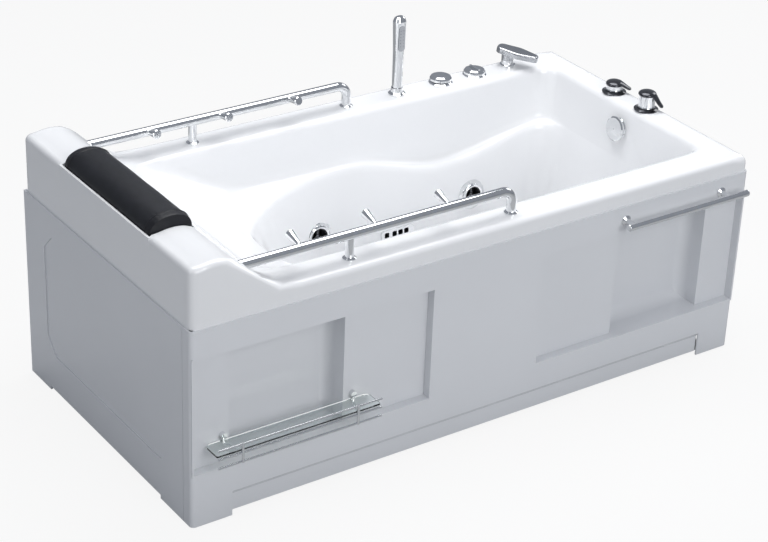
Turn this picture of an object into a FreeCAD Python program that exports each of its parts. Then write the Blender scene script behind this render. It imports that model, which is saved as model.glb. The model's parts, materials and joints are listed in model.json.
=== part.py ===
import FreeCAD, Part
import math
import os

from FreeCAD import Rotation, Vector

os.makedirs("parts", exist_ok=True)

# Jetted bathtub with a raised head wall, two grab rails, a front apron with two niches and
# an end apron at the head. Millimetres, +Z up. X runs from the head end to the foot end and
# Y from the front apron to the back. The origin lies on the floor, under the middle of the
# whole object's box, towel bar included.

# ---------------------------------------------------------------- overall sizes
LENGTH = 1700.0           # head face to foot face
DEPTH = 850.0             # front face to back face
RIM_Z = 582.0             # top of the deck
CREST_RISE = 116.0        # head wall's crest over the deck
FASCIA = 45.0             # drop of the shell's edge below the deck
SHELL_T = 6.0             # laminate of the tub shell
APRON_T = 5.0             # laminate of the aprons
SHELL_SETBACK = 5.0       # shell's front and head faces behind the aprons' faces
FIT = 0.05                # radial clearance of a shaft in its bore
GAP = 0.4                 # clearance between pieces that move apart

# ---------------------------------------------------------------- tub shell
CREST_FLAT = 100.0        # head face to where the head wall's slope begins
SLOPE_FOOT = 238.0        # head face to where that slope meets the deck
CREST_R = 45.0            # rounding of the crest
DECK_BLEND_R = 40.0       # hollow between slope and deck
HEAD_TOP_R = 16.0         # rounding over the head face
EDGE_R = 16.0             # rolled outer edge at the foot
CORNER_R = 14.0           # upright corners, and the roll along the front and back edges
DECK_SIDE = 100.0         # deck width along the front and the back
DECK_FOOT = 84.0          # deck width at the foot end
LIP = 6.0                 # roll of the deck into the basin
ARM_DROP = 142.0          # armrest ledge below the deck
ARM_HEAD = 430.0          # head face to the ledge at the backrest
ARM_DRAFT = 18.0          # lean of the upper walls
ARM_LEDGE = 20.0          # width of the armrest ledge
FLOOR_Z = 160.0           # inside floor of the basin
FLOOR_HEAD = 560.0        # head face to the foot of the backrest
FLOOR_FOOT = 44.0         # lean of the lower foot wall
FLOOR_SIDE = 22.0         # lean of the lower side walls
FLOOR_ROLL = 35.0         # height and width of the bevel into the floor
BASIN_HEAD_R = 70.0       # corners of the basin's mouth
BASIN_FOOT_R = 45.0
ARM_HEAD_R = 110.0        # the same at the armrest ledge
BOWL_FOOT_R = 60.0        # foot corners of the lower bowl
HEAD_BOWL_R = 265.0       # round head end of the lower bowl, at the ledge
HEAD_FLOOR_R = 190.0      # the same, near the floor

# ---------------------------------------------------------------- head pillow
PILLOW_LEN = 436.0
PILLOW_W = 116.0
PILLOW_H = 58.0
PILLOW_X = 71.0           # head face to the pillow's middle
RECESS_DEPTH = 30.0       # seat of the pillow below the crest
RECESS_GAP = 3.0          # play round the pillow
PILLOW_STUD_R = 4.0
PILLOW_STUD_IN = 10.0     # stud's length inside the pillow
PILLOW_STUD_AT = 0.3      # studs' distance from the middle, as a share of the length

# ---------------------------------------------------------------- aprons
TOE_GAP = 3.0             # aprons' corner feet above the floor
TOE_RISE = 13.0           # middle of the lower edge above the floor
TOE_HEIGHT = 60.0         # height of the set-back plinth
TOE_DEPTH = 8.0           # plinth behind the face
TOE_CORNER = 112.0        # length of each corner foot
RETURN = 38.0             # front apron's return round each corner
APRON_CORNER_R = 12.0
APRON_LIP = 15.0          # flange that the shell's edge sits on
NICHE_LOW = 150.0
NICHE_TOP = 460.0
NICHE_EDGE = 8.0          # plain strip at each end of the apron
NICHE_STRIP = 108.0       # shallow strip outside each deep pocket
POCKET_HEAD_LEN = 322.0   # deep pocket of the niche at the head
POCKET_FOOT_LEN = 300.0
POCKET_DEPTH = 92.0
POCKET_R = 30.0           # inner rounding of the pocket
NICHE_DEPTH = 25.0        # shallow field
PLAIN_MIDDLE = 338.0      # plain apron between the niches
FIELD_SIDE = 105.0        # end apron: border of its recessed field at the sides
FIELD_LOW = 118.0         # end apron: lower border
FIELD_TOP = 70.0          # end apron: upper border
FIELD_CORNER = 45.0
FIELD_DEPTH = 3.0
CLIP_LEN = 40.0           # blocks between aprons and frame
CLIP_H = 18.0
SCREW_R = 2.0             # shelf's wall screws

# ---------------------------------------------------------------- frame and feet
TUBE = 30.0               # square steel tube
FRAME_INSET = 34.0        # frame behind the front and back faces
POST_INSET = 24.0         # frame behind the end faces
BOARD_T = 16.0            # board under the basin
FOOT_PAD_R = 25.0
FOOT_PAD_T = 10.0
FOOT_ROD_R = 6.0
FOOT_FROM_END = 82.0
FOOT_OFF_MIDDLE = 50.0
TOP_PLATE_T = 4.0

# ---------------------------------------------------------------- grab rails
RAIL_R = 12.7
RAIL_RISE = 63.0          # tube's centre over the deck
RAIL_INSET = 52.0         # tube's centre behind each side face
RAIL_TO_SHOWER = 168.0    # end post to the hand shower
RAIL_BEND_R = 32.0
RAIL_IN_WALL = 34.0       # tube's length inside the head wall
POST_R = 11.0
FLANGE_R = 17.0
FLANGE_T = 6.0
PEG_TIP_R = 12.0
PEG_ROOT_R = 6.5
PEG_LEN = 46.0
PEG_LIFT = 14.0           # degrees above level
PEG_COUNT = 3
PEG_FIRST = 90.0          # slope's foot to the first peg
PEG_LAST = 189.0          # last peg to the end post
STUD_R = 5.0
NUT_R = 10.0
NUT_T = 8.0

# ---------------------------------------------------------------- deck fittings
SHOWER_FROM_FOOT = 589.0
FITTING_INSET = 46.0      # dials before the back face
SHOWER_INSET = 52.0
SPOUT_INSET = 40.0
SHOWER_RISE = 230.0
SHOWER_STEM_R = 11.0
SHOWER_LOW_W = 27.0
SHOWER_TOP_W = 37.0
SHOWER_TOP_D = 30.0
HOLDER_R = 24.0
DIAL_R = 31.0
DIAL_H = 13.0
DIAL_BASE_R = 34.0
DIAL_BASE_H = 5.0
BUTTON_FROM_FOOT = 435.0
AIR_DIAL_FROM_FOOT = 317.0
BUTTON_TRAVEL = 4.0
SPOUT_FROM_FOOT = 195.0
SPOUT_TURN = 38.0         # degrees towards the foot at rest
SPOUT_LEN = 122.0
SPOUT_W = 52.0
SPOUT_BACK = 34.0         # leaf's length behind the neck's axis
SPOUT_T = 17.0
SPOUT_NECK_R = 18.0
SPOUT_JOINT = 20.0        # turning joint over the deck
SPOUT_RISE = 38.0         # underside of the leaf over the deck, at the neck
SPOUT_DROOP = 9.0         # degrees
SPOUT_PIN_R = 9.0
SPOUT_PIN_LEN = 16.0
TAP_FROM_FOOT = 46.0
TAP_OFF_MIDDLE = 16.0     # middle of the pair behind the tub's middle
TAP_SPREAD = 138.0
TAP_BASE_R = 34.0
TAP_BASE_H = 7.0
TAP_BODY_R = 24.0
MIXER_BODY_H = 36.0       # taller drum, nearer the front
DIVERTER_BODY_H = 15.0    # low drum behind it
TAP_CAP_H = 13.0
TAP_LEVER = 52.0          # reach of the lever from the axis
TAP_LEVER_T = 13.0
TAP_TAIL_R = 10.3         # threaded water tails
TAP_TAIL_LEN = 28.0
TAP_TAIL_OFFSET = 26.0     # from the handle's axis towards the basin
FITTING_SHANK_R = 14.0
FITTING_SHANK_LEN = 34.0

# ---------------------------------------------------------------- waste and overflow
OVERFLOW_DROP = 69.0      # overflow's centre below the deck
OVERFLOW_R = 31.0
OVERFLOW_KNOB_R = 35.0
KNOB_PIN_R = 6.0
OVERFLOW_PIPE_R = 12.0
KNOB_STANDOFF = 3.0       # water gap between the seat and the knob
KNOB_NOTCH_TURN = 45.0
DRAIN_FROM_FOOT = 240.0
DRAIN_R = 35.0
DRAIN_BORE_R = 22.0
PLUG_R = 26.0
WASTE_PIPE_R = 20.0
WASTE_Z = 66.0
WASTE_SPIGOT = 60.0       # outlet's plain end for a pipe's socket
WASTE_SHORT = 8.0         # outlet's end before the back face

# ---------------------------------------------------------------- jets and pump
JET_R = 44.0
JET_HOLE_R = 28.0
JET_BODY_R = 26.0
JET_BODY_LEN = 50.0
JET_CUP_R = 23.5
JET_FLUTES = 24
JET_Z = 265.0
JET_HEAD = 794.0          # head face to the first pair of jets
JET_FOOT = 386.0          # foot face to the second pair
SPOKES = 3
SUCTION_HEAD = 1056.0
SUCTION_Z = 212.0
SUCTION_W = 110.0
SUCTION_H = 30.0
PUMP_X = 90.0             # head face to the motor's end
PUMP_Y = 400.0            # front face to the pump's axis
MOTOR_R = 68.0
MOTOR_LEN = 190.0
VOLUTE_R = 74.0
VOLUTE_LEN = 56.0
IMPELLER_R = 52.0
PIPE_R = 14.0
SUCTION_PIPE_R = 20.0
AIR_PIPE_R = 6.0
AIR_DROP_R = 5.0          # thinner drops from the ring to the jets
AIR_BEND_R = 12.0
AIR_RING_RISE = 90.0      # air ring over the jets
BOX_LEN = 180.0
BOX_W = 110.0
BOX_H = 90.0
GLAND_R = 6.0
GLAND_LEN = 18.0

# ---------------------------------------------------------------- towel bar and shelf
TOWEL_R = 9.0
TOWEL_PROUD = 40.0        # bar's centre before the apron
TOWEL_Z = 497.0
TOWEL_FOOT = 32.0         # bar's end to the foot face
TOWEL_LEN = 412.0
TOWEL_POST_SPAN = 326.0
TOWEL_POST_FOOT = 93.0
SHELF_HEAD = 280.0        # head face to the shelf's middle
SHELF_HALF = 230.0
SHELF_POST_HALF = 162.0
SHELF_ROOT_HALF = 183.0
SHELF_PROUD = 38.0        # gallery rods' centres before the apron
SHELF_ROD_R = 3.0
SHELF_ROD_PITCH = 24.0
SHELF_LOW_Z = 177.0
GLASS_T = 5.0

# ---------------------------------------------------------------- frame of reference
TOWEL_REACH = TOWEL_PROUD + TOWEL_R
HEAD_X = -LENGTH / 2
FOOT_X = LENGTH / 2
FRONT_Y = (TOWEL_REACH - DEPTH) / 2
BACK_Y = FRONT_Y + DEPTH
MID_Y = (FRONT_Y + BACK_Y) / 2
CREST_Z = RIM_Z + CREST_RISE
FASCIA_Z = RIM_Z - FASCIA
ARM_Z = RIM_Z - ARM_DROP
DECK_UNDER = RIM_Z - SHELL_T
BOARD_TOP = FLOOR_Z - SHELL_T
FRAME_TOP = BOARD_TOP - BOARD_T
FRAME_LOW = FRAME_TOP - TUBE
FITTING_Y = BACK_Y - FITTING_INSET
SHOWER_Y = BACK_Y - SHOWER_INSET
SPOUT_Y = BACK_Y - SPOUT_INSET
RAIL_Z = RIM_Z + RAIL_RISE
RAIL_END_X = FOOT_X - SHOWER_FROM_FOOT - RAIL_TO_SHOWER
SIDES = (-1, 1)
X_AXIS = Vector(1, 0, 0)
Y_AXIS = Vector(0, 1, 0)
Z_AXIS = Vector(0, 0, 1)


# ---------------------------------------------------------------- helpers
def on_xy(z):
    return lambda u, v: Vector(u, v, z)


def on_xz(y):
    return lambda u, v: Vector(u, y, v)


def on_yz(x):
    return lambda u, v: Vector(x, u, v)


def outline(points, at):
    """Closed wire through (u, v, radius) corners, each rounded by a tangent arc."""
    count = len(points)
    starts, ends, middles = [], [], []
    for i, (u, v, r) in enumerate(points):
        corner = Vector(u, v, 0)
        if r <= 0:
            starts.append(corner)
            ends.append(corner)
            middles.append(None)
            continue
        before = Vector(points[i - 1][0], points[i - 1][1], 0) - corner
        after = Vector(points[(i + 1) % count][0], points[(i + 1) % count][1], 0) - corner
        before.normalize()
        after.normalize()
        half = before.getAngle(after) / 2
        inward = before + after
        inward.normalize()
        reach = r / math.tan(half)
        starts.append(corner + before * reach)
        ends.append(corner + after * reach)
        middles.append(corner + inward * (r / math.sin(half) - r))
    edges = []
    for i in range(count):
        if middles[i] is not None:
            arc = [at(p.x, p.y) for p in (starts[i], middles[i], ends[i])]
            edges.append(Part.Arc(*arc).toShape())
        following = starts[(i + 1) % count]
        if (following - ends[i]).Length > 1e-6:
            edges.append(Part.LineSegment(at(ends[i].x, ends[i].y), at(following.x, following.y)).toShape())
    return Part.Wire(edges)


def prism(points, at, run):
    return Part.Face(outline(points, at)).extrude(run)


def box(x0, x1, y0, y1, z0, z1):
    return Part.makeBox(x1 - x0, y1 - y0, z1 - z0, Vector(x0, y0, z0))


def rod(radius, start, end):
    run = end - start
    return Part.makeCylinder(radius, run.Length, start, run)


def tube(outer, inner, start, end):
    return rod(outer, start, end).cut(rod(inner, start, end))


def turned(profile):
    """Solid of revolution about Z from (radius, z) corners."""
    return Part.Face(Part.makePolygon([Vector(r, 0, z) for r, z in profile + profile[:1]])).revolve(
        Vector(0, 0, 0), Z_AXIS, 360)


def placed(shape, position, facing=Z_AXIS):
    """Copy with its local +Z turned to `facing` and its origin at `position`."""
    copy = shape.copy()
    copy.Placement = FreeCAD.Placement(position, Rotation(Z_AXIS, facing))
    return copy


def fuse(shapes):
    return shapes[0].multiFuse(shapes[1:]).removeSplitter() if len(shapes) > 1 else shapes[0]


def pipe_run(points, radius, bend):
    """Round pipe along straight runs joined by tangent arcs."""
    edges = []
    last = points[0]
    for i in range(1, len(points) - 1):
        corner = points[i]
        back = points[i - 1] - corner
        ahead = points[i + 1] - corner
        back.normalize()
        ahead.normalize()
        half = back.getAngle(ahead) / 2
        reach = bend / math.tan(half)
        inward = back + ahead
        inward.normalize()
        start = corner + back * reach
        end = corner + ahead * reach
        if (start - last).Length > 1e-6:
            edges.append(Part.LineSegment(last, start).toShape())
        middle = corner + inward * (bend / math.sin(half) - bend)
        edges.append(Part.Arc(start, middle, end).toShape())
        last = end
    edges.append(Part.LineSegment(last, points[-1]).toShape())
    along = points[1] - points[0]
    ring = Part.Wire([Part.makeCircle(radius, points[0], along)])
    return Part.Wire(edges).makePipeShell([ring], True, False)


def export(name, *shapes):
    solids = [solid for shape in shapes for solid in shape.Solids]
    whole = solids[0] if len(solids) == 1 else Part.makeCompound(solids)
    whole.exportStep("parts/" + name + ".step")
    bounds = whole.BoundBox
    print("%-20s %3d solids %10.0f mm3  x %7.1f %7.1f  y %7.1f %7.1f  z %6.1f %6.1f" % (
        name, len(solids), whole.Volume, bounds.XMin, bounds.XMax, bounds.YMin, bounds.YMax,
        bounds.ZMin, bounds.ZMax))


# ---------------------------------------------------------------- basin walls
def upper_lean(z):
    return ARM_DRAFT * (RIM_Z - z) / ARM_DROP


def lower_lean(z):
    """Share of the lower walls' lean reached at a height: 0 at the armrest, 1 at the roll."""
    return (ARM_Z - z) / (ARM_Z - ROLL_Z)


def side_inset(z):
    """Distance from a side face to the basin's wall at a height."""
    if z > ARM_Z:
        return DECK_SIDE + upper_lean(z)
    return DECK_SIDE + ARM_DRAFT + ARM_LEDGE + FLOOR_SIDE * lower_lean(z)


def foot_inset(z):
    """Distance from the foot face to the basin's foot wall at a height."""
    if z > ARM_Z:
        return DECK_FOOT + upper_lean(z)
    return DECK_FOOT + ARM_DRAFT + ARM_LEDGE / 2 + FLOOR_FOOT * lower_lean(z)


ROLL_Z = FLOOR_Z + FLOOR_ROLL
SIDE_LEAN = math.atan(FLOOR_SIDE / (ARM_Z - ROLL_Z))
FOOT_LEAN = math.atan(ARM_DRAFT / ARM_DROP)
BACKREST_RUN = (ARM_HEAD - SLOPE_FOOT) / ARM_DROP


def plan(z, head, foot, side, r_head, r_foot, grow):
    """Rounded plan of the basin at one level, grown outwards by `grow`."""
    x0 = HEAD_X + head - grow
    x1 = FOOT_X - foot + grow
    y0 = FRONT_Y + side - grow
    y1 = BACK_Y - side + grow
    corners = [(x0, y0, r_head + grow), (x1, y0, r_foot + grow),
               (x1, y1, r_foot + grow), (x0, y1, r_head + grow)]
    return outline(corners, on_xy(z))


def upper_plan(z, r_head, grow):
    return plan(z, SLOPE_FOOT + BACKREST_RUN * (RIM_Z - z), DECK_FOOT + upper_lean(z),
                DECK_SIDE + upper_lean(z), r_head, BASIN_FOOT_R, grow)


def lower_plan(z, r_head, grow):
    head = ARM_HEAD + (FLOOR_HEAD - ARM_HEAD) * lower_lean(z)
    foot = DECK_FOOT + ARM_DRAFT + ARM_LEDGE / 2 + FLOOR_FOOT * lower_lean(z)
    side = DECK_SIDE + ARM_DRAFT + ARM_LEDGE + FLOOR_SIDE * lower_lean(z)
    return plan(z, head, foot, side, r_head, BOWL_FOOT_R, grow)


def floor_plan(z, grow):
    return plan(z, FLOOR_HEAD + FLOOR_ROLL, foot_inset(ROLL_Z) + FLOOR_ROLL, side_inset(ROLL_Z) + FLOOR_ROLL,
                HEAD_FLOOR_R - FLOOR_ROLL, BOWL_FOOT_R - 15, grow)


def basin(grow, top):
    """Basin as a solid: grow 0 is the hollow, grow of the laminate is its outside."""
    upper = Part.makeLoft([upper_plan(top, BASIN_HEAD_R, grow),
                           upper_plan(ARM_Z - grow, ARM_HEAD_R, grow)], True, True)
    lower = Part.makeLoft([lower_plan(ARM_Z - grow / 2, HEAD_BOWL_R, grow),
                           lower_plan(ROLL_Z, HEAD_FLOOR_R, grow)], True, True)
    roll = Part.makeLoft([lower_plan(ROLL_Z, HEAD_FLOOR_R, grow),
                          floor_plan(FLOOR_Z - grow, grow)], True, True)
    return fuse([upper, lower, roll])


def lip_flare():
    """Roll of the deck's inner edge into the basin."""
    low = RIM_Z - LIP
    mouth = plan(RIM_Z, SLOPE_FOOT, DECK_FOOT - LIP, DECK_SIDE - LIP,
                 BASIN_HEAD_R + LIP, BASIN_FOOT_R + LIP, 0)
    return Part.makeLoft([mouth, upper_plan(low, BASIN_HEAD_R, 0)], True, True)


def slope_trim():
    """Space over the basin's head end, up to the head wall's slope."""
    rise = 20.0
    foot = HEAD_X + SLOPE_FOOT
    head = foot - rise * (SLOPE_FOOT - CREST_FLAT) / CREST_RISE
    corners = [(foot, RIM_Z - 1, 0), (foot, RIM_Z, 0), (head, RIM_Z + rise, 0),
               (foot + 2 * rise, RIM_Z + rise, 0), (foot + 2 * rise, RIM_Z - 1, 0)]
    y0 = FRONT_Y + DECK_SIDE + 10
    return prism(corners, on_xz(y0), Vector(0, BACK_Y - DECK_SIDE - 10 - y0, 0))


# ---------------------------------------------------------------- shell
def shell_block(inner):
    """Side profile of deck and head wall, pulled across the depth."""
    x0 = HEAD_X + SHELL_SETBACK + inner
    x1 = FOOT_X - inner
    crest = CREST_Z - inner
    deck = RIM_Z - inner
    low = FASCIA_Z - (1 if inner else 0)
    slope = (CREST_RISE) / (SLOPE_FOOT - CREST_FLAT)
    shift = inner * (math.hypot(1, slope) - 1) / slope
    profile = [(x0, low, 0), (x0, crest, max(HEAD_TOP_R - inner, 1)),
               (HEAD_X + CREST_FLAT - shift, crest, CREST_R - inner),
               (HEAD_X + SLOPE_FOOT - shift, deck, DECK_BLEND_R + inner),
               (x1, deck, max(EDGE_R - inner, 1)), (x1, low, 0)]
    y0 = FRONT_Y + SHELL_SETBACK + inner
    y1 = BACK_Y - inner
    block = prism(profile, on_xz(y0), Vector(0, y1 - y0, 0))
    chain = [edge for edge in block.Edges if is_upright(edge)]
    return block.makeFillet(CORNER_R - inner, chain)


def is_upright(edge):
    bounds = edge.BoundBox
    return bounds.XLength < 0.01 and bounds.YLength < 0.01 and bounds.ZLength > 10


def pillow_recess(grow):
    half = PILLOW_LEN / 2 + RECESS_GAP + grow
    x0 = HEAD_X + PILLOW_X - PILLOW_W / 2 - RECESS_GAP - grow
    x1 = HEAD_X + PILLOW_X + PILLOW_W / 2 + (RECESS_GAP if grow else 4 * PILLOW_H)
    low = CREST_Z - RECESS_DEPTH - grow
    return box(x0, x1, MID_Y - half, MID_Y + half, low, CREST_Z - (SHELL_T if grow else -PILLOW_H))


def tub_shell():
    cap = shell_block(0).cut(shell_block(SHELL_T))
    tray = pillow_recess(SHELL_T).common(shell_block(0))
    wall = basin(SHELL_T, RIM_Z)
    shell = fuse([cap, tray, wall])
    shell = shell.cut(fuse([basin(0, RIM_Z + 1), lip_flare(), slope_trim()]))
    shell = shell.cut(pillow_recess(0))
    return shell.cut(Part.makeCompound(shell_holes()))


def shell_holes():
    """Every hole through the shell, from the same places as what fills it."""
    holes = []
    for x, y in deck_points():
        holes.append(rod(FITTING_SHANK_R + GAP, Vector(x, y, DECK_UNDER - 1), Vector(x, y, RIM_Z + 1)))
    for side in SIDES:
        for x in (RAIL_POST_X, RAIL_END_X):
            y = rail_y(side)
            holes.append(rod(STUD_R + GAP, Vector(x, y, DECK_UNDER - 1), Vector(x, y, RIM_Z + 1)))
        start, end = rail_wall_span(side)
        holes.append(rod(RAIL_R + GAP, start, end))
    for position, facing in jet_places():
        holes.append(placed(Part.makeCylinder(JET_HOLE_R, 40, Vector(0, 0, -25)), position, facing))
    position, facing = overflow_place()
    holes.append(placed(Part.makeCylinder(DRAIN_BORE_R + GAP, 40, Vector(0, 0, -25)), position, facing))
    holes.append(rod(DRAIN_BORE_R + GAP, Vector(DRAIN_X, MID_Y, BOARD_TOP - 1),
                     Vector(DRAIN_X, MID_Y, FLOOR_Z + 1)))
    for place in pillow_stud_places():
        holes.append(Part.makeCylinder(PILLOW_STUD_R + GAP / 2, 20, place - Vector(0, 0, 10)))
    position, facing = suction_place()
    holes.append(placed(rounded_plate(SUCTION_W - 14, SUCTION_H - 10, 6, -25, 15), position, facing))
    return holes


# ---------------------------------------------------------------- places of the fittings
SHOWER_X = FOOT_X - SHOWER_FROM_FOOT
BUTTON_X = FOOT_X - BUTTON_FROM_FOOT
AIR_DIAL_X = FOOT_X - AIR_DIAL_FROM_FOOT
SPOUT_X = FOOT_X - SPOUT_FROM_FOOT
TAP_X = FOOT_X - TAP_FROM_FOOT
TAP_YS = (MID_Y + TAP_OFF_MIDDLE - TAP_SPREAD / 2, MID_Y + TAP_OFF_MIDDLE + TAP_SPREAD / 2)
DRAIN_X = FOOT_X - DRAIN_FROM_FOOT
SLOPE = CREST_RISE / (SLOPE_FOOT - CREST_FLAT)
RAIL_WALL_X = HEAD_X + SLOPE_FOOT - RAIL_RISE / SLOPE
PEG_FIRST_X = HEAD_X + SLOPE_FOOT + PEG_FIRST
PEG_STEP = (RAIL_END_X - PEG_LAST - PEG_FIRST_X) / (PEG_COUNT - 1)
RAIL_POST_X = PEG_FIRST_X + PEG_STEP * 0.63


def deck_points():
    back_row = [(SHOWER_X, SHOWER_Y), (BUTTON_X, FITTING_Y), (AIR_DIAL_X, FITTING_Y), (SPOUT_X, SPOUT_Y)]
    return back_row + [(TAP_X, y) for y in TAP_YS]


def rail_y(side):
    return FRONT_Y + RAIL_INSET if side < 0 else BACK_Y - RAIL_INSET


def rail_wall_span(side):
    y = rail_y(side)
    return Vector(RAIL_WALL_X - RAIL_IN_WALL, y, RAIL_Z), Vector(RAIL_WALL_X + 20, y, RAIL_Z)


def jet_places():
    """Position on the wall and the way each jet faces, back pair first."""
    places = []
    for side in (1, -1):
        y = BACK_Y - side_inset(JET_Z) if side > 0 else FRONT_Y + side_inset(JET_Z)
        facing = Vector(0, -side * math.cos(SIDE_LEAN), math.sin(SIDE_LEAN))
        for x in (HEAD_X + JET_HEAD, FOOT_X - JET_FOOT):
            places.append((Vector(x, y, JET_Z), facing))
    return places


def suction_place():
    facing = Vector(0, -math.cos(SIDE_LEAN), math.sin(SIDE_LEAN))
    return Vector(HEAD_X + SUCTION_HEAD, BACK_Y - side_inset(SUCTION_Z), SUCTION_Z), facing


def overflow_place():
    z = RIM_Z - OVERFLOW_DROP
    facing = Vector(-math.cos(FOOT_LEAN), 0, math.sin(FOOT_LEAN))
    return Vector(FOOT_X - foot_inset(z), MID_Y, z), facing


def rounded_plate(length, width, radius, z, top):
    """Plate, length along local X and width along local Y, between two local heights."""
    a = length / 2
    b = width / 2
    corners = [(-a, -b, radius), (a, -b, radius), (a, b, radius), (-a, b, radius)]
    return prism(corners, on_xy(z), Vector(0, 0, top - z))


# ---------------------------------------------------------------- head pillow
def pillow_stud_places():
    return [Vector(HEAD_X + PILLOW_X, MID_Y + share * PILLOW_LEN, CREST_Z - RECESS_DEPTH)
            for share in (-PILLOW_STUD_AT, PILLOW_STUD_AT)]


def head_pillow():
    """Half-round roll, lofted along its length, with drawn-in ends and two stud sockets."""
    wires = [pillow_section(MID_Y + side * PILLOW_LEN * share, scale)
             for side, share, scale in ((-1, 0.5, 0.80), (-1, 0.485, 0.93), (-1, 0.44, 1.0),
                                        (1, 0.44, 1.0), (1, 0.485, 0.93), (1, 0.5, 0.80))]
    pillow = Part.makeLoft(wires, True, True)
    sockets = [Part.makeCylinder(PILLOW_STUD_R + FIT, PILLOW_STUD_IN + 1,
                                 place) for place in pillow_stud_places()]
    return pillow.cut(Part.makeCompound(sockets))


def pillow_section(y, scale):
    at = on_xz(y)
    seat = CREST_Z - RECESS_DEPTH + GAP
    x = HEAD_X + PILLOW_X
    half = PILLOW_W / 2 * scale
    top = PILLOW_H * scale
    waist = seat + top * 0.3
    left, right, crown = at(x - half, waist), at(x + half, waist), at(x, seat + top)
    foot_left, foot_right = at(x - half * 0.9, seat), at(x + half * 0.9, seat)
    edges = [Part.Arc(left, at(x - half * 0.74, seat + top * 0.78), crown).toShape(),
             Part.Arc(crown, at(x + half * 0.74, seat + top * 0.78), right).toShape()]
    for start, end in ((right, foot_right), (foot_right, foot_left), (foot_left, left)):
        edges.append(Part.LineSegment(start, end).toShape())
    return Part.Wire(edges)


def pillow_studs():
    """Push-in studs through the floor of the recess, heads below it."""
    profile = [(0, -SHELL_T - 4), (9, -SHELL_T - 4), (9, -SHELL_T), (PILLOW_STUD_R, -SHELL_T),
               (PILLOW_STUD_R, PILLOW_STUD_IN), (0, PILLOW_STUD_IN)]
    return [placed(turned(profile), place) for place in pillow_stud_places()]


# ---------------------------------------------------------------- aprons
def niche_boxes(side, grow):
    """Shallow field and deep pocket of one niche; side -1 is at the head, 1 at the foot."""
    end = HEAD_X if side < 0 else FOOT_X
    middle = (HEAD_X + FOOT_X) / 2 + side * PLAIN_MIDDLE / 2
    outer = end - side * NICHE_EDGE
    pocket_out = outer - side * NICHE_STRIP
    pocket_in = pocket_out - side * (POCKET_HEAD_LEN if side < 0 else POCKET_FOOT_LEN)
    low = NICHE_LOW - grow
    top = NICHE_TOP + grow
    front = FRONT_Y if grow else FRONT_Y - 1
    field = box(min(outer, middle) - grow, max(outer, middle) + grow, front,
                FRONT_Y + NICHE_DEPTH + grow, low, top)
    back = FRONT_Y + POCKET_DEPTH + grow
    pocket = box(min(pocket_out, pocket_in) - grow, max(pocket_out, pocket_in) + grow, front, back, low, top)
    rim = [edge for edge in pocket.Edges if abs(edge.BoundBox.YMin - back) < 1e-3
           and abs(edge.BoundBox.YMax - back) < 1e-3]
    pocket = pocket.makeFillet(POCKET_R + grow, rim)
    return [field, pocket]


def toe_plate():
    """Profile of the apron's middle, with its set-back plinth."""
    face = FRONT_Y
    t = APRON_T
    step = TOE_DEPTH * 1.5
    points = [(face, FASCIA_Z), (face, TOE_HEIGHT + step), (face + TOE_DEPTH, TOE_HEIGHT),
              (face + TOE_DEPTH, TOE_RISE), (face + TOE_DEPTH + t, TOE_RISE),
              (face + TOE_DEPTH + t, TOE_HEIGHT + t / 2), (face + t, TOE_HEIGHT + step + t / 2),
              (face + t, FASCIA_Z)]
    run = LENGTH - 2 * TOE_CORNER
    return prism([(u, v, 0) for u, v in points], on_yz(HEAD_X + TOE_CORNER), Vector(run, 0, 0))


def front_apron():
    outer = rounded_wall(0)
    inner = rounded_wall(APRON_T)
    wall = outer.cut(inner)
    middle = box(HEAD_X + TOE_CORNER, FOOT_X - TOE_CORNER, FRONT_Y - 1, FRONT_Y + APRON_T + 1,
                 0, TOE_HEIGHT + TOE_DEPTH * 1.5)
    wall = wall.cut(middle)
    flange = box(HEAD_X + APRON_CORNER_R, FOOT_X - APRON_CORNER_R, FRONT_Y + APRON_T / 2,
                 FRONT_Y + APRON_LIP, FASCIA_Z - APRON_T, FASCIA_Z)
    trays = niche_boxes(-1, APRON_T) + niche_boxes(1, APRON_T)
    hollows = niche_boxes(-1, 0) + niche_boxes(1, 0)
    apron = fuse([wall, toe_plate(), flange] + trays)
    apron = apron.cut(fuse(hollows))
    return apron.cut(Part.makeCompound(apron_bores()))


def rounded_wall(inner):
    """Block whose front and end faces carry the apron's face and returns."""
    x0 = HEAD_X + inner
    x1 = FOOT_X - inner
    y0 = FRONT_Y + inner
    y1 = FRONT_Y + RETURN + (1 if inner else 0)
    r = APRON_CORNER_R - inner
    z0 = TOE_GAP - (1 if inner else 0)
    z1 = FASCIA_Z + (1 if inner else 0)
    corners = [(x0, y0, r), (x1, y0, r), (x1, y1, 0), (x0, y1, 0)]
    return prism(corners, on_xy(z0), Vector(0, 0, z1 - z0))


def apron_bores():
    """Holes for the towel bar's studs and the shelf's wall plates."""
    bores = []
    for x in towel_post_xs():
        bores.append(rod(STUD_R, Vector(x, FRONT_Y - 1, TOWEL_Z), Vector(x, FRONT_Y + APRON_T + 1, TOWEL_Z)))
    for x in shelf_root_xs():
        y = FRONT_Y + NICHE_DEPTH
        bores.append(rod(SCREW_R, Vector(x, y - 1, shelf_z()), Vector(x, y + APRON_T + 1, shelf_z())))
    return bores


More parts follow.
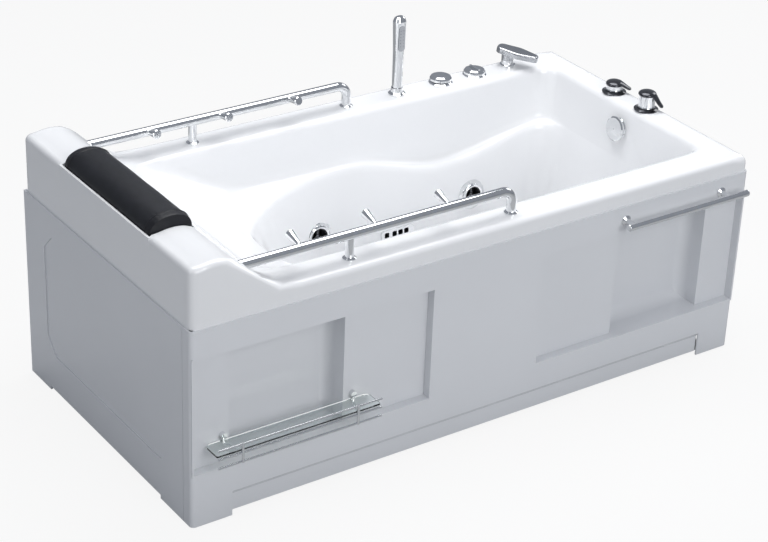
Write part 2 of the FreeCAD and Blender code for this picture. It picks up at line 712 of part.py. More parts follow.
def end_apron():
    y0 = FRONT_Y + RETURN + 1
    plate = box(HEAD_X, HEAD_X + APRON_T, y0, BACK_Y, TOE_GAP, FASCIA_Z)
    flange = box(HEAD_X + APRON_T / 2, HEAD_X + APRON_LIP, y0, BACK_Y, FASCIA_Z - APRON_T, FASCIA_Z)
    side = FIELD_SIDE
    low, top = FIELD_LOW, FASCIA_Z - FIELD_TOP
    fa, fb = FRONT_Y + side, BACK_Y - side
    c = FIELD_CORNER
    field = [(fa, low + c, 12), (fa + c, low, 12), (fb - c, low, 12), (fb, low + c, 12),
             (fb, top - c, 12), (fb - c, top, 12), (fa + c, top, 12), (fa, top - c, 12)]
    pressed = prism(field, on_yz(HEAD_X - 1), Vector(1 + FIELD_DEPTH, 0, 0))
    backing = prism(field, on_yz(HEAD_X + APRON_T / 2), Vector(APRON_T / 2 + FIELD_DEPTH, 0, 0))
    toe = box(HEAD_X - 1, HEAD_X + APRON_T + 1, y0 + TOE_CORNER, BACK_Y - TOE_CORNER, 0, TOE_RISE)
    return fuse([plate, flange, backing]).cut(pressed).cut(toe)


def apron_clips():
    """Blocks that hold the aprons to the frame's lower rails and to its posts."""
    clips = []
    low = FRAME_LOW + (TUBE - CLIP_H) / 2
    high = (NICHE_TOP + APRON_T + FASCIA_Z - APRON_T) / 2 - CLIP_H / 2
    y0 = FRONT_Y + APRON_T
    y1 = FRONT_Y + FRAME_INSET
    for x in post_xs():
        middle = x + TUBE / 2
        clips.append(box(middle - CLIP_LEN / 4, middle + CLIP_LEN / 4, y0, y1, high, high + CLIP_H))
    for x in (HEAD_X + TOE_CORNER, -FOOT_OFF_MIDDLE, FOOT_X - TOE_CORNER):
        clips.append(box(x - CLIP_LEN / 2, x + CLIP_LEN / 2, y0, y1, low, low + CLIP_H))
    x0 = HEAD_X + APRON_T
    x1 = HEAD_X + POST_INSET
    for y in rail_ys():
        middle = y + TUBE / 2
        clips.append(box(x0, x1, middle - CLIP_LEN / 4, middle + CLIP_LEN / 4, high, high + CLIP_H))
        clips.append(box(x0, x1, middle - CLIP_LEN / 4, middle + CLIP_LEN / 4, low, low + CLIP_H))
    return clips


# ---------------------------------------------------------------- frame, board and feet
def foot_places():
    xs = (HEAD_X + FOOT_FROM_END, -FOOT_OFF_MIDDLE, FOOT_X - FOOT_FROM_END)
    ys = (FRONT_Y + FRAME_INSET + TUBE / 2, BACK_Y - FRAME_INSET - TUBE / 2)
    return [(x, y) for y in ys for x in xs]


def square_tube(x0, x1, y0, y1, z0, z1):
    """Closed length of square tube between two corners; its ends are capped."""
    wall = 2.0
    solid = box(x0, x1, y0, y1, z0, z1)
    return solid.cut(box(x0 + wall, x1 - wall, y0 + wall, y1 - wall, z0 + wall, z1 - wall))


def post_xs():
    return (HEAD_X + POST_INSET, -TUBE / 2, FOOT_X - POST_INSET - TUBE)


def rail_ys():
    return (FRONT_Y + FRAME_INSET, BACK_Y - FRAME_INSET - TUBE)


def cross_xs():
    """Near sides of the cross bars: two under the pump, three under the board, one at the foot."""
    return (HEAD_X + PUMP_X + 20, HEAD_X + PUMP_X + MOTOR_LEN + 40, HEAD_X + FLOOR_HEAD + 80,
            -TUBE / 2, DRAIN_X - 120, FOOT_X - POST_INSET - TUBE)


def support_frame():
    bars = []
    for y in rail_ys():
        rail = square_tube(HEAD_X + POST_INSET, FOOT_X - POST_INSET, y, y + TUBE, FRAME_LOW, FRAME_TOP)
        for x, foot_y in foot_places():
            if abs(foot_y - y - TUBE / 2) < 1:
                sleeve = rod(FOOT_ROD_R + 5, Vector(x, foot_y, FRAME_LOW - 8), Vector(x, foot_y, FRAME_TOP))
                bore = rod(FOOT_ROD_R + FIT, Vector(x, foot_y, FRAME_LOW - 9),
                           Vector(x, foot_y, FRAME_TOP + 1))
                rail = fuse([rail, sleeve]).cut(bore)
        bars.append(rail)
        for x in post_xs():
            under = (CREST_Z if x < HEAD_X + CREST_FLAT else RIM_Z) - SHELL_T
            bars.append(square_tube(x, x + TUBE, y, y + TUBE, FRAME_TOP, under - TOP_PLATE_T))
            bars.append(box(x, x + TUBE, y - 3, y + TUBE + 3, under - TOP_PLATE_T, under))
    for x in cross_xs():
        bars.append(square_tube(x, x + TUBE, rail_ys()[0] + TUBE, rail_ys()[1], FRAME_LOW, FRAME_TOP))
    return bars


def base_board():
    inset = side_inset(ROLL_Z) + FLOOR_ROLL
    foot = foot_inset(ROLL_Z) + FLOOR_ROLL
    x0 = HEAD_X + FLOOR_HEAD + FLOOR_ROLL
    x1 = FOOT_X - foot
    y0 = FRONT_Y + inset
    y1 = BACK_Y - inset
    board = prism([(x0, y0, 60), (x1, y0, 40), (x1, y1, 40), (x0, y1, 60)], on_xy(FRAME_TOP),
                  Vector(0, 0, BOARD_T))
    return board.cut(rod(DRAIN_R + 5, Vector(DRAIN_X, MID_Y, FRAME_TOP - 1),
                         Vector(DRAIN_X, MID_Y, BOARD_TOP + 1)))


def levelling_foot(x, y):
    pad = turned([(0, 0), (FOOT_PAD_R, 0), (FOOT_PAD_R, FOOT_PAD_T * 0.5), (FOOT_ROD_R + 6, FOOT_PAD_T),
                  (0, FOOT_PAD_T)])
    stem = Part.makeCylinder(FOOT_ROD_R, FRAME_TOP - FOOT_PAD_T + 8, Vector(0, 0, FOOT_PAD_T - 1))
    nut = prism(hexagon(10), on_xy(FOOT_PAD_T + 4), Vector(0, 0, 8))
    return placed(fuse([pad, stem, nut]), Vector(x, y, 0))


def hexagon(radius):
    return [(radius * math.cos(math.radians(60 * i)), radius * math.sin(math.radians(60 * i)), 0)
            for i in range(6)]


# ---------------------------------------------------------------- grab rails
def grab_rail(side):
    y = rail_y(side)
    start = Vector(RAIL_WALL_X - RAIL_IN_WALL, y, RAIL_Z)
    corner = Vector(RAIL_END_X, y, RAIL_Z)
    end = Vector(RAIL_END_X, y, RIM_Z + FLANGE_T)
    return pipe_run([start, corner, end], RAIL_R, RAIL_BEND_R)


def flange_turned(radius, height, neck):
    return turned([(0, 0), (radius, 0), (radius, height * 0.45), (neck + 1.5, height), (0, height)])


def rail_posts():
    """Middle posts with flanges, the end posts' flanges, and their studs through the deck."""
    pieces = []
    for side in SIDES:
        y = rail_y(side)
        flange = flange_turned(FLANGE_R, FLANGE_T, POST_R)
        stud = Part.makeCylinder(STUD_R, FITTING_SHANK_LEN, Vector(0, 0, -FITTING_SHANK_LEN + 1))
        column = Part.makeCylinder(POST_R, RAIL_RISE, Vector(0, 0, 0))
        post = placed(fuse([flange, stud, column]), Vector(RAIL_POST_X, y, RIM_Z))
        pieces.append(post.cut(rod(RAIL_R, Vector(RAIL_POST_X - 40, y, RAIL_Z),
                                   Vector(RAIL_POST_X + 40, y, RAIL_Z))))
        foot = flange_turned(FLANGE_R + 1, FLANGE_T, RAIL_R)
        pieces.append(placed(fuse([foot, stud]), Vector(RAIL_END_X, y, RIM_Z)))
    return pieces


def peg_xs():
    return [PEG_FIRST_X + PEG_STEP * i for i in range(PEG_COUNT)]


def rail_pegs():
    """Conical pegs that lean inwards over the basin, wide ends free."""
    pegs = []
    lift = math.radians(PEG_LIFT)
    for side in SIDES:
        facing = Vector(0, -side * math.cos(lift), math.sin(lift))
        y = rail_y(side)
        for x in peg_xs():
            body = turned([(0, 0), (PEG_ROOT_R, 0), (PEG_ROOT_R, RAIL_R), (PEG_TIP_R, RAIL_R + PEG_LEN - 3),
                           (PEG_TIP_R - 2, RAIL_R + PEG_LEN), (0, RAIL_R + PEG_LEN)])
            peg = placed(body, Vector(x, y, RAIL_Z), facing)
            pegs.append(peg.cut(rod(RAIL_R, Vector(x - 40, y, RAIL_Z), Vector(x + 40, y, RAIL_Z))))
    return pegs


def rail_nuts():
    nuts = []
    for side in SIDES:
        y = rail_y(side)
        for x in (RAIL_POST_X, RAIL_END_X):
            nut = prism(hexagon(NUT_R), on_xy(DECK_UNDER - NUT_T), Vector(0, 0, NUT_T)).cut(
                Part.makeCylinder(STUD_R + FIT, NUT_T * 3, Vector(0, 0, DECK_UNDER - 2 * NUT_T)))
            nuts.append(nut.translated(Vector(x, y, 0)))
    return nuts


# ---------------------------------------------------------------- hand shower
def hand_shower():
    """Tapered handset with a round stem that drops into its holder."""
    low = RIM_Z + 22
    top = RIM_Z + SHOWER_RISE
    sections = [(low, SHOWER_LOW_W, SHOWER_LOW_W, 12), ((low + top) / 2, SHOWER_LOW_W + 2, SHOWER_LOW_W, 12),
                (top - 14, SHOWER_TOP_W, SHOWER_TOP_D, 14), (top - 4, SHOWER_TOP_W - 7, SHOWER_TOP_D - 7, 11),
                (top, SHOWER_TOP_W - 18, SHOWER_TOP_D - 16, 6)]
    wires = []
    for z, wide, deep, radius in sections:
        a, b = wide / 2, deep / 2
        wires.append(outline([(-a, -b, radius), (a, -b, radius), (a, b, radius), (-a, b, radius)], on_xy(z)))
    body = Part.makeLoft(wires, True, True)
    stem = Part.makeCylinder(SHOWER_STEM_R, 22 + FITTING_SHANK_LEN,
                             Vector(0, 0, RIM_Z - FITTING_SHANK_LEN + 1))
    shower = fuse([body, stem]).cut(spray_pad(0.6))
    return placed(shower, Vector(SHOWER_X, SHOWER_Y, 0))


def spray_pad(sink):
    """Oval spray face on the handset's front, near its top."""
    top = RIM_Z + SHOWER_RISE - 24
    low = top - 74
    half = SHOWER_TOP_W / 2 - 8
    corners = [(-half, low, half - 1), (half, low, half - 1), (half, top, half - 1), (-half, top, half - 1)]
    front = -SHOWER_TOP_D / 2
    return prism(corners, on_xz(front - 3), Vector(0, 3 + 5 * sink, 0))


def spray_face():
    pad = spray_pad(0.6)
    top = RIM_Z + SHOWER_RISE - 24
    trim = box(-SHOWER_TOP_W, SHOWER_TOP_W, -SHOWER_TOP_D / 2 - 0.6, SHOWER_TOP_D / 2, RIM_Z,
               RIM_Z + SHOWER_RISE)
    face = pad.common(trim)
    holes = [Part.makeCylinder(1.0, 2.0, Vector(dx, -SHOWER_TOP_D / 2 - 1.2, top - 14 - 9 * i), Y_AXIS)
             for i in range(6) for dx in (-4.5, 4.5)]
    return placed(face.cut(Part.makeCompound(holes)), Vector(SHOWER_X, SHOWER_Y, 0))


def shower_holder():
    collar = turned([(0, 0), (HOLDER_R, 0), (HOLDER_R, 4), (HOLDER_R - 5, 8), (17, 9), (16, 21), (0, 21)])
    shank = Part.makeCylinder(FITTING_SHANK_R, FITTING_SHANK_LEN, Vector(0, 0, -FITTING_SHANK_LEN))
    bore = Part.makeCylinder(SHOWER_STEM_R + FIT, 200, Vector(0, 0, -100))
    return placed(fuse([collar, shank]).cut(bore), Vector(SHOWER_X, SHOWER_Y, RIM_Z))


def shower_hose_guide():
    """Threaded gland on the shank under the deck, where the hose comes up."""
    nut = prism(hexagon(24), on_xy(-NUT_T), Vector(0, 0, NUT_T))
    sleeve = Part.makeCylinder(19, 60, Vector(0, 0, -60))
    bore = Part.makeCylinder(FITTING_SHANK_R + FIT, 200, Vector(0, 0, -100))
    return placed(fuse([nut, sleeve]).cut(bore), Vector(SHOWER_X, SHOWER_Y, DECK_UNDER))


# ---------------------------------------------------------------- air button and air dial
def fitting_base():
    ring = turned([(0, 0), (DIAL_BASE_R, 0), (DIAL_BASE_R, 2), (DIAL_BASE_R - 4, DIAL_BASE_H),
                   (0, DIAL_BASE_H)])
    shank = Part.makeCylinder(FITTING_SHANK_R, FITTING_SHANK_LEN, Vector(0, 0, -FITTING_SHANK_LEN))
    bore = Part.makeCylinder(8 + FIT, 200, Vector(0, 0, -100))
    return fuse([ring, shank]).cut(bore)


def fitting_cap(lift):
    dome = turned([(0, lift), (DIAL_R, lift), (DIAL_R, lift + DIAL_H * 0.45),
                   (DIAL_R - 3, lift + DIAL_H * 0.8),
                   (DIAL_R - 9, lift + DIAL_H), (0, lift + DIAL_H * 0.92)])
    stem = Part.makeCylinder(8, FITTING_SHANK_LEN + lift - 2, Vector(0, 0, -FITTING_SHANK_LEN + 6))
    return fuse([dome, stem])


def air_button_base():
    return placed(fitting_base(), Vector(BUTTON_X, FITTING_Y, RIM_Z))


def air_button():
    cap = fitting_cap(DIAL_BASE_H + BUTTON_TRAVEL + GAP)
    return placed(cap, Vector(BUTTON_X, FITTING_Y, RIM_Z))


def air_dial_base():
    return placed(fitting_base(), Vector(AIR_DIAL_X, FITTING_Y, RIM_Z))


def air_dial():
    """Turning dial with a thumb rib across its top and fluted rim."""
    cap = fitting_cap(DIAL_BASE_H + GAP)
    rib = box(-3, 3, -DIAL_R * 0.7, DIAL_R * 0.7, DIAL_BASE_H + GAP + DIAL_H * 0.6, DIAL_BASE_H + DIAL_H + 4)
    return placed(fuse([cap, rib]), Vector(AIR_DIAL_X, FITTING_Y, RIM_Z))


def under_deck_body(radius, height):
    """Closed cup with a nipple, screwed on a fitting's shank up to the deck's underside."""
    low = -FITTING_SHANK_LEN - height
    cup = Part.makeCylinder(radius, -SHELL_T - low, Vector(0, 0, low))
    bore = Part.makeCylinder(FITTING_SHANK_R + FIT, FITTING_SHANK_LEN, Vector(0, 0, -FITTING_SHANK_LEN))
    nipple = Part.makeCylinder(5, 16, Vector(0, 0, low - 16))
    return fuse([cup, nipple]).cut(bore)


def air_switch_body():
    return placed(under_deck_body(18, 24), Vector(BUTTON_X, FITTING_Y, RIM_Z))


def air_valve_body():
    return placed(under_deck_body(20, 34), Vector(AIR_DIAL_X, FITTING_Y, RIM_Z))


# ---------------------------------------------------------------- spout
def spout_base():
    ring = turned([(0, 0), (SPOUT_NECK_R + 4.5, 0), (SPOUT_NECK_R + 4.5, 5), (SPOUT_NECK_R, 7),
                   (SPOUT_NECK_R, SPOUT_JOINT - GAP), (0, SPOUT_JOINT - GAP)])
    shank = Part.makeCylinder(FITTING_SHANK_R, FITTING_SHANK_LEN, Vector(0, 0, -FITTING_SHANK_LEN))
    bore = Part.makeCylinder(SPOUT_PIN_R + FIT, SPOUT_JOINT + 20,
                             Vector(0, 0, SPOUT_JOINT - SPOUT_PIN_LEN - 1))
    return placed(fuse([ring, shank]).cut(bore), Vector(SPOUT_X, SPOUT_Y, RIM_Z))


def spout():
    """Leaf on a turning neck: rounded behind the neck, drawn to a blunt tip that drops a little."""
    reach = SPOUT_LEN - SPOUT_BACK
    half = SPOUT_W / 2
    waist = reach * 0.35
    leaf = outline([(-SPOUT_BACK, -half * 0.75, half * 0.7), (waist, -half * 1.06, 60),
                    (reach, -half * 0.45, 10), (reach, half * 0.45, 10),
                    (waist, half * 1.06, 60), (-SPOUT_BACK, half * 0.75, half * 0.7)], on_xy(SPOUT_RISE))
    blade = Part.Face(leaf).extrude(Vector(0, 0, SPOUT_T))
    top = SPOUT_RISE + SPOUT_T
    blade = blade.makeFillet(SPOUT_T * 0.4, [edge for edge in blade.Edges if edge.BoundBox.ZMin > top - 0.01])
    mouth = box(reach - 16, reach - 7, -9, 9, SPOUT_RISE - 1, SPOUT_RISE + 6)
    blade = blade.cut(mouth)
    blade.rotate(Vector(0, 0, SPOUT_RISE), Y_AXIS, SPOUT_DROOP)
    neck = Part.makeCylinder(SPOUT_NECK_R, SPOUT_RISE + SPOUT_T / 2 - SPOUT_JOINT, Vector(0, 0, SPOUT_JOINT))
    pin = Part.makeCylinder(SPOUT_PIN_R, SPOUT_PIN_LEN + 1, Vector(0, 0, SPOUT_JOINT - SPOUT_PIN_LEN))
    body = fuse([blade, neck, pin])
    body.Placement = FreeCAD.Placement(Vector(SPOUT_X, SPOUT_Y, RIM_Z), Rotation(Z_AXIS, SPOUT_TURN - 90))
    return body


def spout_shank():
    """Back nut and supply tail under the deck."""
    nut = prism(hexagon(24), on_xy(DECK_UNDER - NUT_T), Vector(0, 0, NUT_T))
    nut = nut.cut(Part.makeCylinder(FITTING_SHANK_R + FIT, 200, Vector(0, 0, DECK_UNDER - 100)))
    tail = tube(FITTING_SHANK_R, 8, Vector(0, 0, RIM_Z - FITTING_SHANK_LEN - 24),
                Vector(0, 0, RIM_Z - FITTING_SHANK_LEN))
    return [placed(nut, Vector(SPOUT_X, SPOUT_Y, 0)), placed(tail, Vector(SPOUT_X, SPOUT_Y, 0))]


# ---------------------------------------------------------------- taps on the foot deck
def tap_flange():
    skirt = turned([(0, 0), (TAP_BASE_R, 0), (TAP_BASE_R, 2.5), (TAP_BASE_R - 7, TAP_BASE_H - 1.5),
                    (TAP_BODY_R + 2, TAP_BASE_H), (0, TAP_BASE_H)])
    shank = Part.makeCylinder(FITTING_SHANK_R, FITTING_SHANK_LEN, Vector(0, 0, -FITTING_SHANK_LEN))
    return fuse([skirt, shank]).cut(Part.makeCylinder(8 + FIT, 200, Vector(0, 0, -100)))


def tap_handle(turn, body_h):
    """Drum body under a domed cap whose lever droops to one side, nearly to the deck."""
    low = TAP_BASE_H + GAP
    top = low + body_h
    crown = top + TAP_CAP_H
    drum = turned([(0, low), (TAP_BODY_R, low), (TAP_BODY_R - 1, top), (0, top)])
    cap = turned([(0, top), (TAP_BODY_R + 1.5, top), (TAP_BODY_R + 1.5, top + 3), (TAP_BODY_R - 4, top + 9),
                  (TAP_BODY_R - 13, crown), (0, crown)])
    lever_profile = [(TAP_BODY_R * 0.3, crown - 3, 0), (TAP_BODY_R + 5, top + 1, 14),
                     (TAP_LEVER, low + 6, 2), (TAP_LEVER - 7, low + 3, 0),
                     (TAP_BODY_R + 2, max(top - 16, low + 7), 12), (TAP_BODY_R * 0.3, top - 1, 0)]
    lever = prism(lever_profile, on_xz(-TAP_LEVER_T / 2), Vector(0, TAP_LEVER_T, 0))
    pin = Part.makeCylinder(8, FITTING_SHANK_LEN - 4 + low, Vector(0, 0, -FITTING_SHANK_LEN + 8))
    handle = fuse([drum, cap, lever, pin])
    handle.Placement = FreeCAD.Placement(Vector(0, 0, 0), Rotation(Z_AXIS, turn))
    return handle


def tap_valves():
    """Valve bodies under the deck, each with an offset threaded tail that clears the frame's foot bar."""
    bodies = []
    for y in TAP_YS:
        low = -FITTING_SHANK_LEN - 26
        body = Part.makeCylinder(20, -SHELL_T - low, Vector(0, 0, low))
        body = body.cut(Part.makeCylinder(FITTING_SHANK_R + FIT, FITTING_SHANK_LEN,
                                          Vector(0, 0, -FITTING_SHANK_LEN)))
        elbow = box(-TAP_TAIL_OFFSET - TAP_TAIL_R, 0, -TAP_TAIL_R, TAP_TAIL_R, low, low + 2 * TAP_TAIL_R)
        tail_at = Vector(-TAP_TAIL_OFFSET, 0, low - TAP_TAIL_LEN)
        tail = Part.makeCylinder(TAP_TAIL_R, TAP_TAIL_LEN + 1, tail_at)
        tail_bore = Part.makeCylinder(7, TAP_TAIL_LEN + 6, tail_at - Vector(0, 0, 1))
        bodies.append(placed(fuse([body, elbow, tail]).cut(tail_bore), Vector(TAP_X, y, RIM_Z)))
    return bodies


# ---------------------------------------------------------------- overflow, waste and plug
def overflow_ring():
    """Slotted seat behind the knob."""
    ring = turned([(0, 0), (OVERFLOW_R, 0), (OVERFLOW_R, 2), (OVERFLOW_R - 3, 5), (0, 5)])
    barrel = Part.makeCylinder(DRAIN_BORE_R - 2, 24, Vector(0, 0, -24))
    bore = Part.makeCylinder(KNOB_PIN_R + FIT, 80, Vector(0, 0, -40))
    slots = []
    for i in range(6):
        angle = math.radians(60 * i)
        slots.append(Part.makeCylinder(4, 60, Vector(13 * math.cos(angle), 13 * math.sin(angle), -30)))
    return placed(fuse([ring, barrel]).cut(fuse([bore] + slots)), *overflow_place())


def overflow_knob():
    """Round turning cover with a finger notch in its edge."""
    low = 5 + KNOB_STANDOFF
    disc = turned([(0, low), (OVERFLOW_KNOB_R - 2, low), (OVERFLOW_KNOB_R, low + 2),
                   (OVERFLOW_KNOB_R, low + 7),
                   (OVERFLOW_KNOB_R - 4, low + 10), (0, low + 11.5)])
    notch = Part.makeCylinder(7, 20, Vector(OVERFLOW_KNOB_R + 2, 0, low - 2))
    notch.rotate(Vector(0, 0, 0), Z_AXIS, KNOB_NOTCH_TURN)
    pin = Part.makeCylinder(KNOB_PIN_R, low + 22, Vector(0, 0, -20))
    return placed(fuse([disc, pin]).cut(notch), *overflow_place())


def overflow_pipe():
    """Elbow behind the foot wall and the pipe down to the waste."""
    position, facing = overflow_place()
    out = position - facing * 22
    cup = placed(Part.makeCylinder(DRAIN_BORE_R + 6, 27, Vector(0, 0, -SHELL_T - 27)), position, facing)
    hollow = placed(Part.makeCylinder(DRAIN_BORE_R - 2 + FIT, 23, Vector(0, 0, -SHELL_T - 22)), position,
                    facing)
    fall = rod(OVERFLOW_PIPE_R, Vector(out.x, MID_Y, out.z - 6), Vector(out.x, MID_Y, WASTE_Z))
    foot = rod(OVERFLOW_PIPE_R, Vector(out.x, MID_Y, WASTE_Z), Vector(DRAIN_X + WASTE_PIPE_R, MID_Y, WASTE_Z))
    corner = Part.makeSphere(OVERFLOW_PIPE_R, Vector(out.x, MID_Y, WASTE_Z))
    return fuse([cup, fall, corner, foot]).cut(hollow)


def drain_flange():
    dish = turned([(0, 0.0), (DRAIN_R, 0.0), (DRAIN_R, 1.5), (DRAIN_BORE_R + 5, 3), (0, 3)])
    barrel = Part.makeCylinder(DRAIN_BORE_R, BOARD_TOP - FRAME_TOP + 30,
                               Vector(0, 0, -(BOARD_TOP - FRAME_TOP) - 30))
    bore = Part.makeCylinder(DRAIN_BORE_R - 4, 200, Vector(0, 0, -100))
    web = box(-DRAIN_BORE_R + 3, DRAIN_BORE_R - 3, -3, 3, -20, -14)
    hub = Part.makeCylinder(6, 12, Vector(0, 0, -26))
    guide = Part.makeCylinder(3 + FIT, 60, Vector(0, 0, -40))
    body = fuse([dish, barrel]).cut(bore)
    return placed(fuse([body, web, hub]).cut(guide), Vector(DRAIN_X, MID_Y, FLOOR_Z))


def drain_plug():
    cap = turned([(0, 3 + GAP), (PLUG_R, 3 + GAP), (PLUG_R, 4.5), (PLUG_R - 6, 8), (0, 9)])
    stem = Part.makeCylinder(3, 42, Vector(0, 0, -36))
    return placed(fuse([cap, stem]), Vector(DRAIN_X, MID_Y, FLOOR_Z))


def waste_trap():
    """Waste tee under the drain with its outlet to the back."""
    top = FRAME_TOP - 30 + 12
    body = rod(WASTE_PIPE_R + 6, Vector(DRAIN_X, MID_Y, WASTE_Z - WASTE_PIPE_R - 4),
               Vector(DRAIN_X, MID_Y, top))
    hollow = rod(DRAIN_BORE_R + FIT, Vector(DRAIN_X, MID_Y, WASTE_Z - WASTE_PIPE_R + 4),
                 Vector(DRAIN_X, MID_Y, top + 1))
    mouth = BACK_Y - WASTE_SHORT
    outlet = fuse([rod(WASTE_PIPE_R - 2, Vector(DRAIN_X, MID_Y, WASTE_Z), Vector(DRAIN_X, mouth, WASTE_Z)),
                   rod(WASTE_PIPE_R, Vector(DRAIN_X, mouth - WASTE_SPIGOT, WASTE_Z),
                       Vector(DRAIN_X, mouth, WASTE_Z))])
    outlet_bore = rod(WASTE_PIPE_R - 5, Vector(DRAIN_X, MID_Y, WASTE_Z), Vector(DRAIN_X, BACK_Y, WASTE_Z))
    inlet_bore = rod(OVERFLOW_PIPE_R + FIT, Vector(DRAIN_X, MID_Y, WASTE_Z),
                     Vector(DRAIN_X + 60, MID_Y, WASTE_Z))
    return fuse([body, outlet]).cut(fuse([hollow, outlet_bore, inlet_bore]))


# ---------------------------------------------------------------- jets
def jet_ring():
    """Stepped chrome ring with a fluted collar."""
    ring = turned([(JET_BODY_R, 0), (JET_R, 0), (JET_R, 2.5), (JET_R - 7, 5.5),
                   (34, 6.5), (34, 11), (31, 13), (JET_BODY_R, 11)])
    flutes = []
    for i in range(JET_FLUTES):
        angle = 2 * math.pi * i / JET_FLUTES
        flutes.append(Part.makeCylinder(1.6, 8, Vector(35 * math.cos(angle), 35 * math.sin(angle), 7)))
    return ring.cut(Part.makeCompound(flutes))


def jet_body():
    """Cup through the wall with a bearing for the spinner and a back nut."""
    shell = Part.makeCylinder(JET_BODY_R, JET_BODY_LEN + SHELL_T, Vector(0, 0, -JET_BODY_LEN))
    cup = Part.makeCylinder(JET_CUP_R, 20 + SHELL_T + 1, Vector(0, 0, -20))
    chamber = Part.makeCylinder(JET_CUP_R - 4, 20, Vector(0, 0, -JET_BODY_LEN + 6))
    bearing = Part.makeCylinder(3 + FIT, 40, Vector(0, 0, -40))
    ports = [Part.makeCylinder(4, 40, Vector(13 * math.cos(a), 13 * math.sin(a), -40))
             for a in [math.radians(120 * i + 60) for i in range(3)]]
    nut = Part.makeCylinder(36, 8, Vector(0, 0, -SHELL_T - 8 - 0.3))
    return fuse([shell, nut]).cut(fuse([cup, chamber])).cut(fuse([bearing] + ports))


def jet_rotor():
    """Three-spoke spinner on a pin."""
    hub = turned([(0, -14), (5, -14), (6, 2), (3, 4), (0, 4)])
    spokes = []
    for i in range(SPOKES):
        spoke = box(2, JET_CUP_R - 1.2, -3.2, 3.2, -8, 0.5)
        spoke.Placement = FreeCAD.Placement(Vector(0, 0, 0), Rotation(Z_AXIS, 360 / SPOKES * i + 90))
        spokes.append(spoke)
    pin = Part.makeCylinder(3, 16, Vector(0, 0, -24))
    return fuse([hub, pin] + spokes)


def suction_cover():
    """Rounded cover with three windows and a separate round-cornered end window."""
    plate = rounded_plate(SUCTION_W, SUCTION_H, 9, 0, 4)
    windows = []
    pitch = 20
    for i in range(4):
        window = rounded_plate(15, 15, 3, -1, 6)
        windows.append(window.translated(Vector(-36 + pitch * i + (6 if i else 0), 0, 0)))
    cover = plate.cut(Part.makeCompound(windows))
    return placed(cover, *suction_place())


def suction_box():
    body = rounded_plate(SUCTION_W - 15, SUCTION_H - 11, 5, -34, 0)
    hollow = rounded_plate(SUCTION_W - 21, SUCTION_H - 17, 3, -30, 1)
    nut = rounded_plate(SUCTION_W + 6, SUCTION_H + 12, 8, -SHELL_T - 6.3, -SHELL_T - 0.3)
    nut = nut.cut(rounded_plate(SUCTION_W - 15, SUCTION_H - 11, 5, -20, 5))
    return placed(fuse([body, nut]).cut(hollow), *suction_place())


# ---------------------------------------------------------------- pump and pipes
PUMP_AXIS_Y = FRONT_Y + PUMP_Y
PLATE_Z = FRAME_TOP
PLATE_T = 4.0
PUMP_AXIS_Z = PLATE_Z + PLATE_T + VOLUTE_R + 6
MOTOR_X0 = HEAD_X + PUMP_X
MOTOR_X1 = MOTOR_X0 + MOTOR_LEN
VOLUTE_X1 = MOTOR_X1 + VOLUTE_LEN


def on_pump_axis(x):
    return Vector(x, PUMP_AXIS_Y, PUMP_AXIS_Z)


def pump_motor():
    """Finned motor can on two saddles, with its base plate on the cross bars."""
    can = rod(MOTOR_R, on_pump_axis(MOTOR_X0), on_pump_axis(MOTOR_X1))
    grooves = []
    for i in range(9):
        x = MOTOR_X0 + 30 + 15 * i
        grooves.append(tube(MOTOR_R + 2, MOTOR_R - 4, on_pump_axis(x), on_pump_axis(x + 6)))
    bore = rod(9 + FIT, on_pump_axis(MOTOR_X0 + 20), on_pump_axis(MOTOR_X1 + 1))
    plate = box(cross_xs()[0], cross_xs()[1] + TUBE, PUMP_AXIS_Y - 90, PUMP_AXIS_Y + 250, PLATE_Z,
                PLATE_Z + PLATE_T)
    saddles = [box(x, x + 24, PUMP_AXIS_Y - 50, PUMP_AXIS_Y + 50, PLATE_Z + PLATE_T - 1, PUMP_AXIS_Z - 40)
               for x in (MOTOR_X0 + 12, MOTOR_X1 - 40)]
    return fuse([can.cut(Part.makeCompound(grooves)), plate] + saddles).cut(bore)


def pump_volute():
    outer = rod(VOLUTE_R, on_pump_axis(MOTOR_X1), on_pump_axis(VOLUTE_X1))
    inlet = rod(SUCTION_PIPE_R + 4, on_pump_axis(VOLUTE_X1 - 2), on_pump_axis(VOLUTE_X1 + 24))
    top = PUMP_AXIS_Z + VOLUTE_R
    outlet_y = PUMP_AXIS_Y
    outlet_x = MOTOR_X1 + VOLUTE_LEN / 2
    outlet = rod(PIPE_R + 4, Vector(outlet_x, outlet_y, top - 20), Vector(outlet_x, outlet_y, top + 20))
    chamber = rod(IMPELLER_R + 4, on_pump_axis(MOTOR_X1 + 8), on_pump_axis(VOLUTE_X1 - 8))
    shaft_bore = rod(9 + FIT, on_pump_axis(MOTOR_X1 - 1), on_pump_axis(MOTOR_X1 + 10))
    eye = rod(SUCTION_PIPE_R + FIT, on_pump_axis(VOLUTE_X1 - 10), on_pump_axis(VOLUTE_X1 + 25))
    throat = rod(PIPE_R + FIT, Vector(outlet_x, outlet_y, top - 32), Vector(outlet_x, outlet_y, top + 21))
    return fuse([outer, inlet, outlet]).cut(fuse([chamber, shaft_bore, eye, throat]))


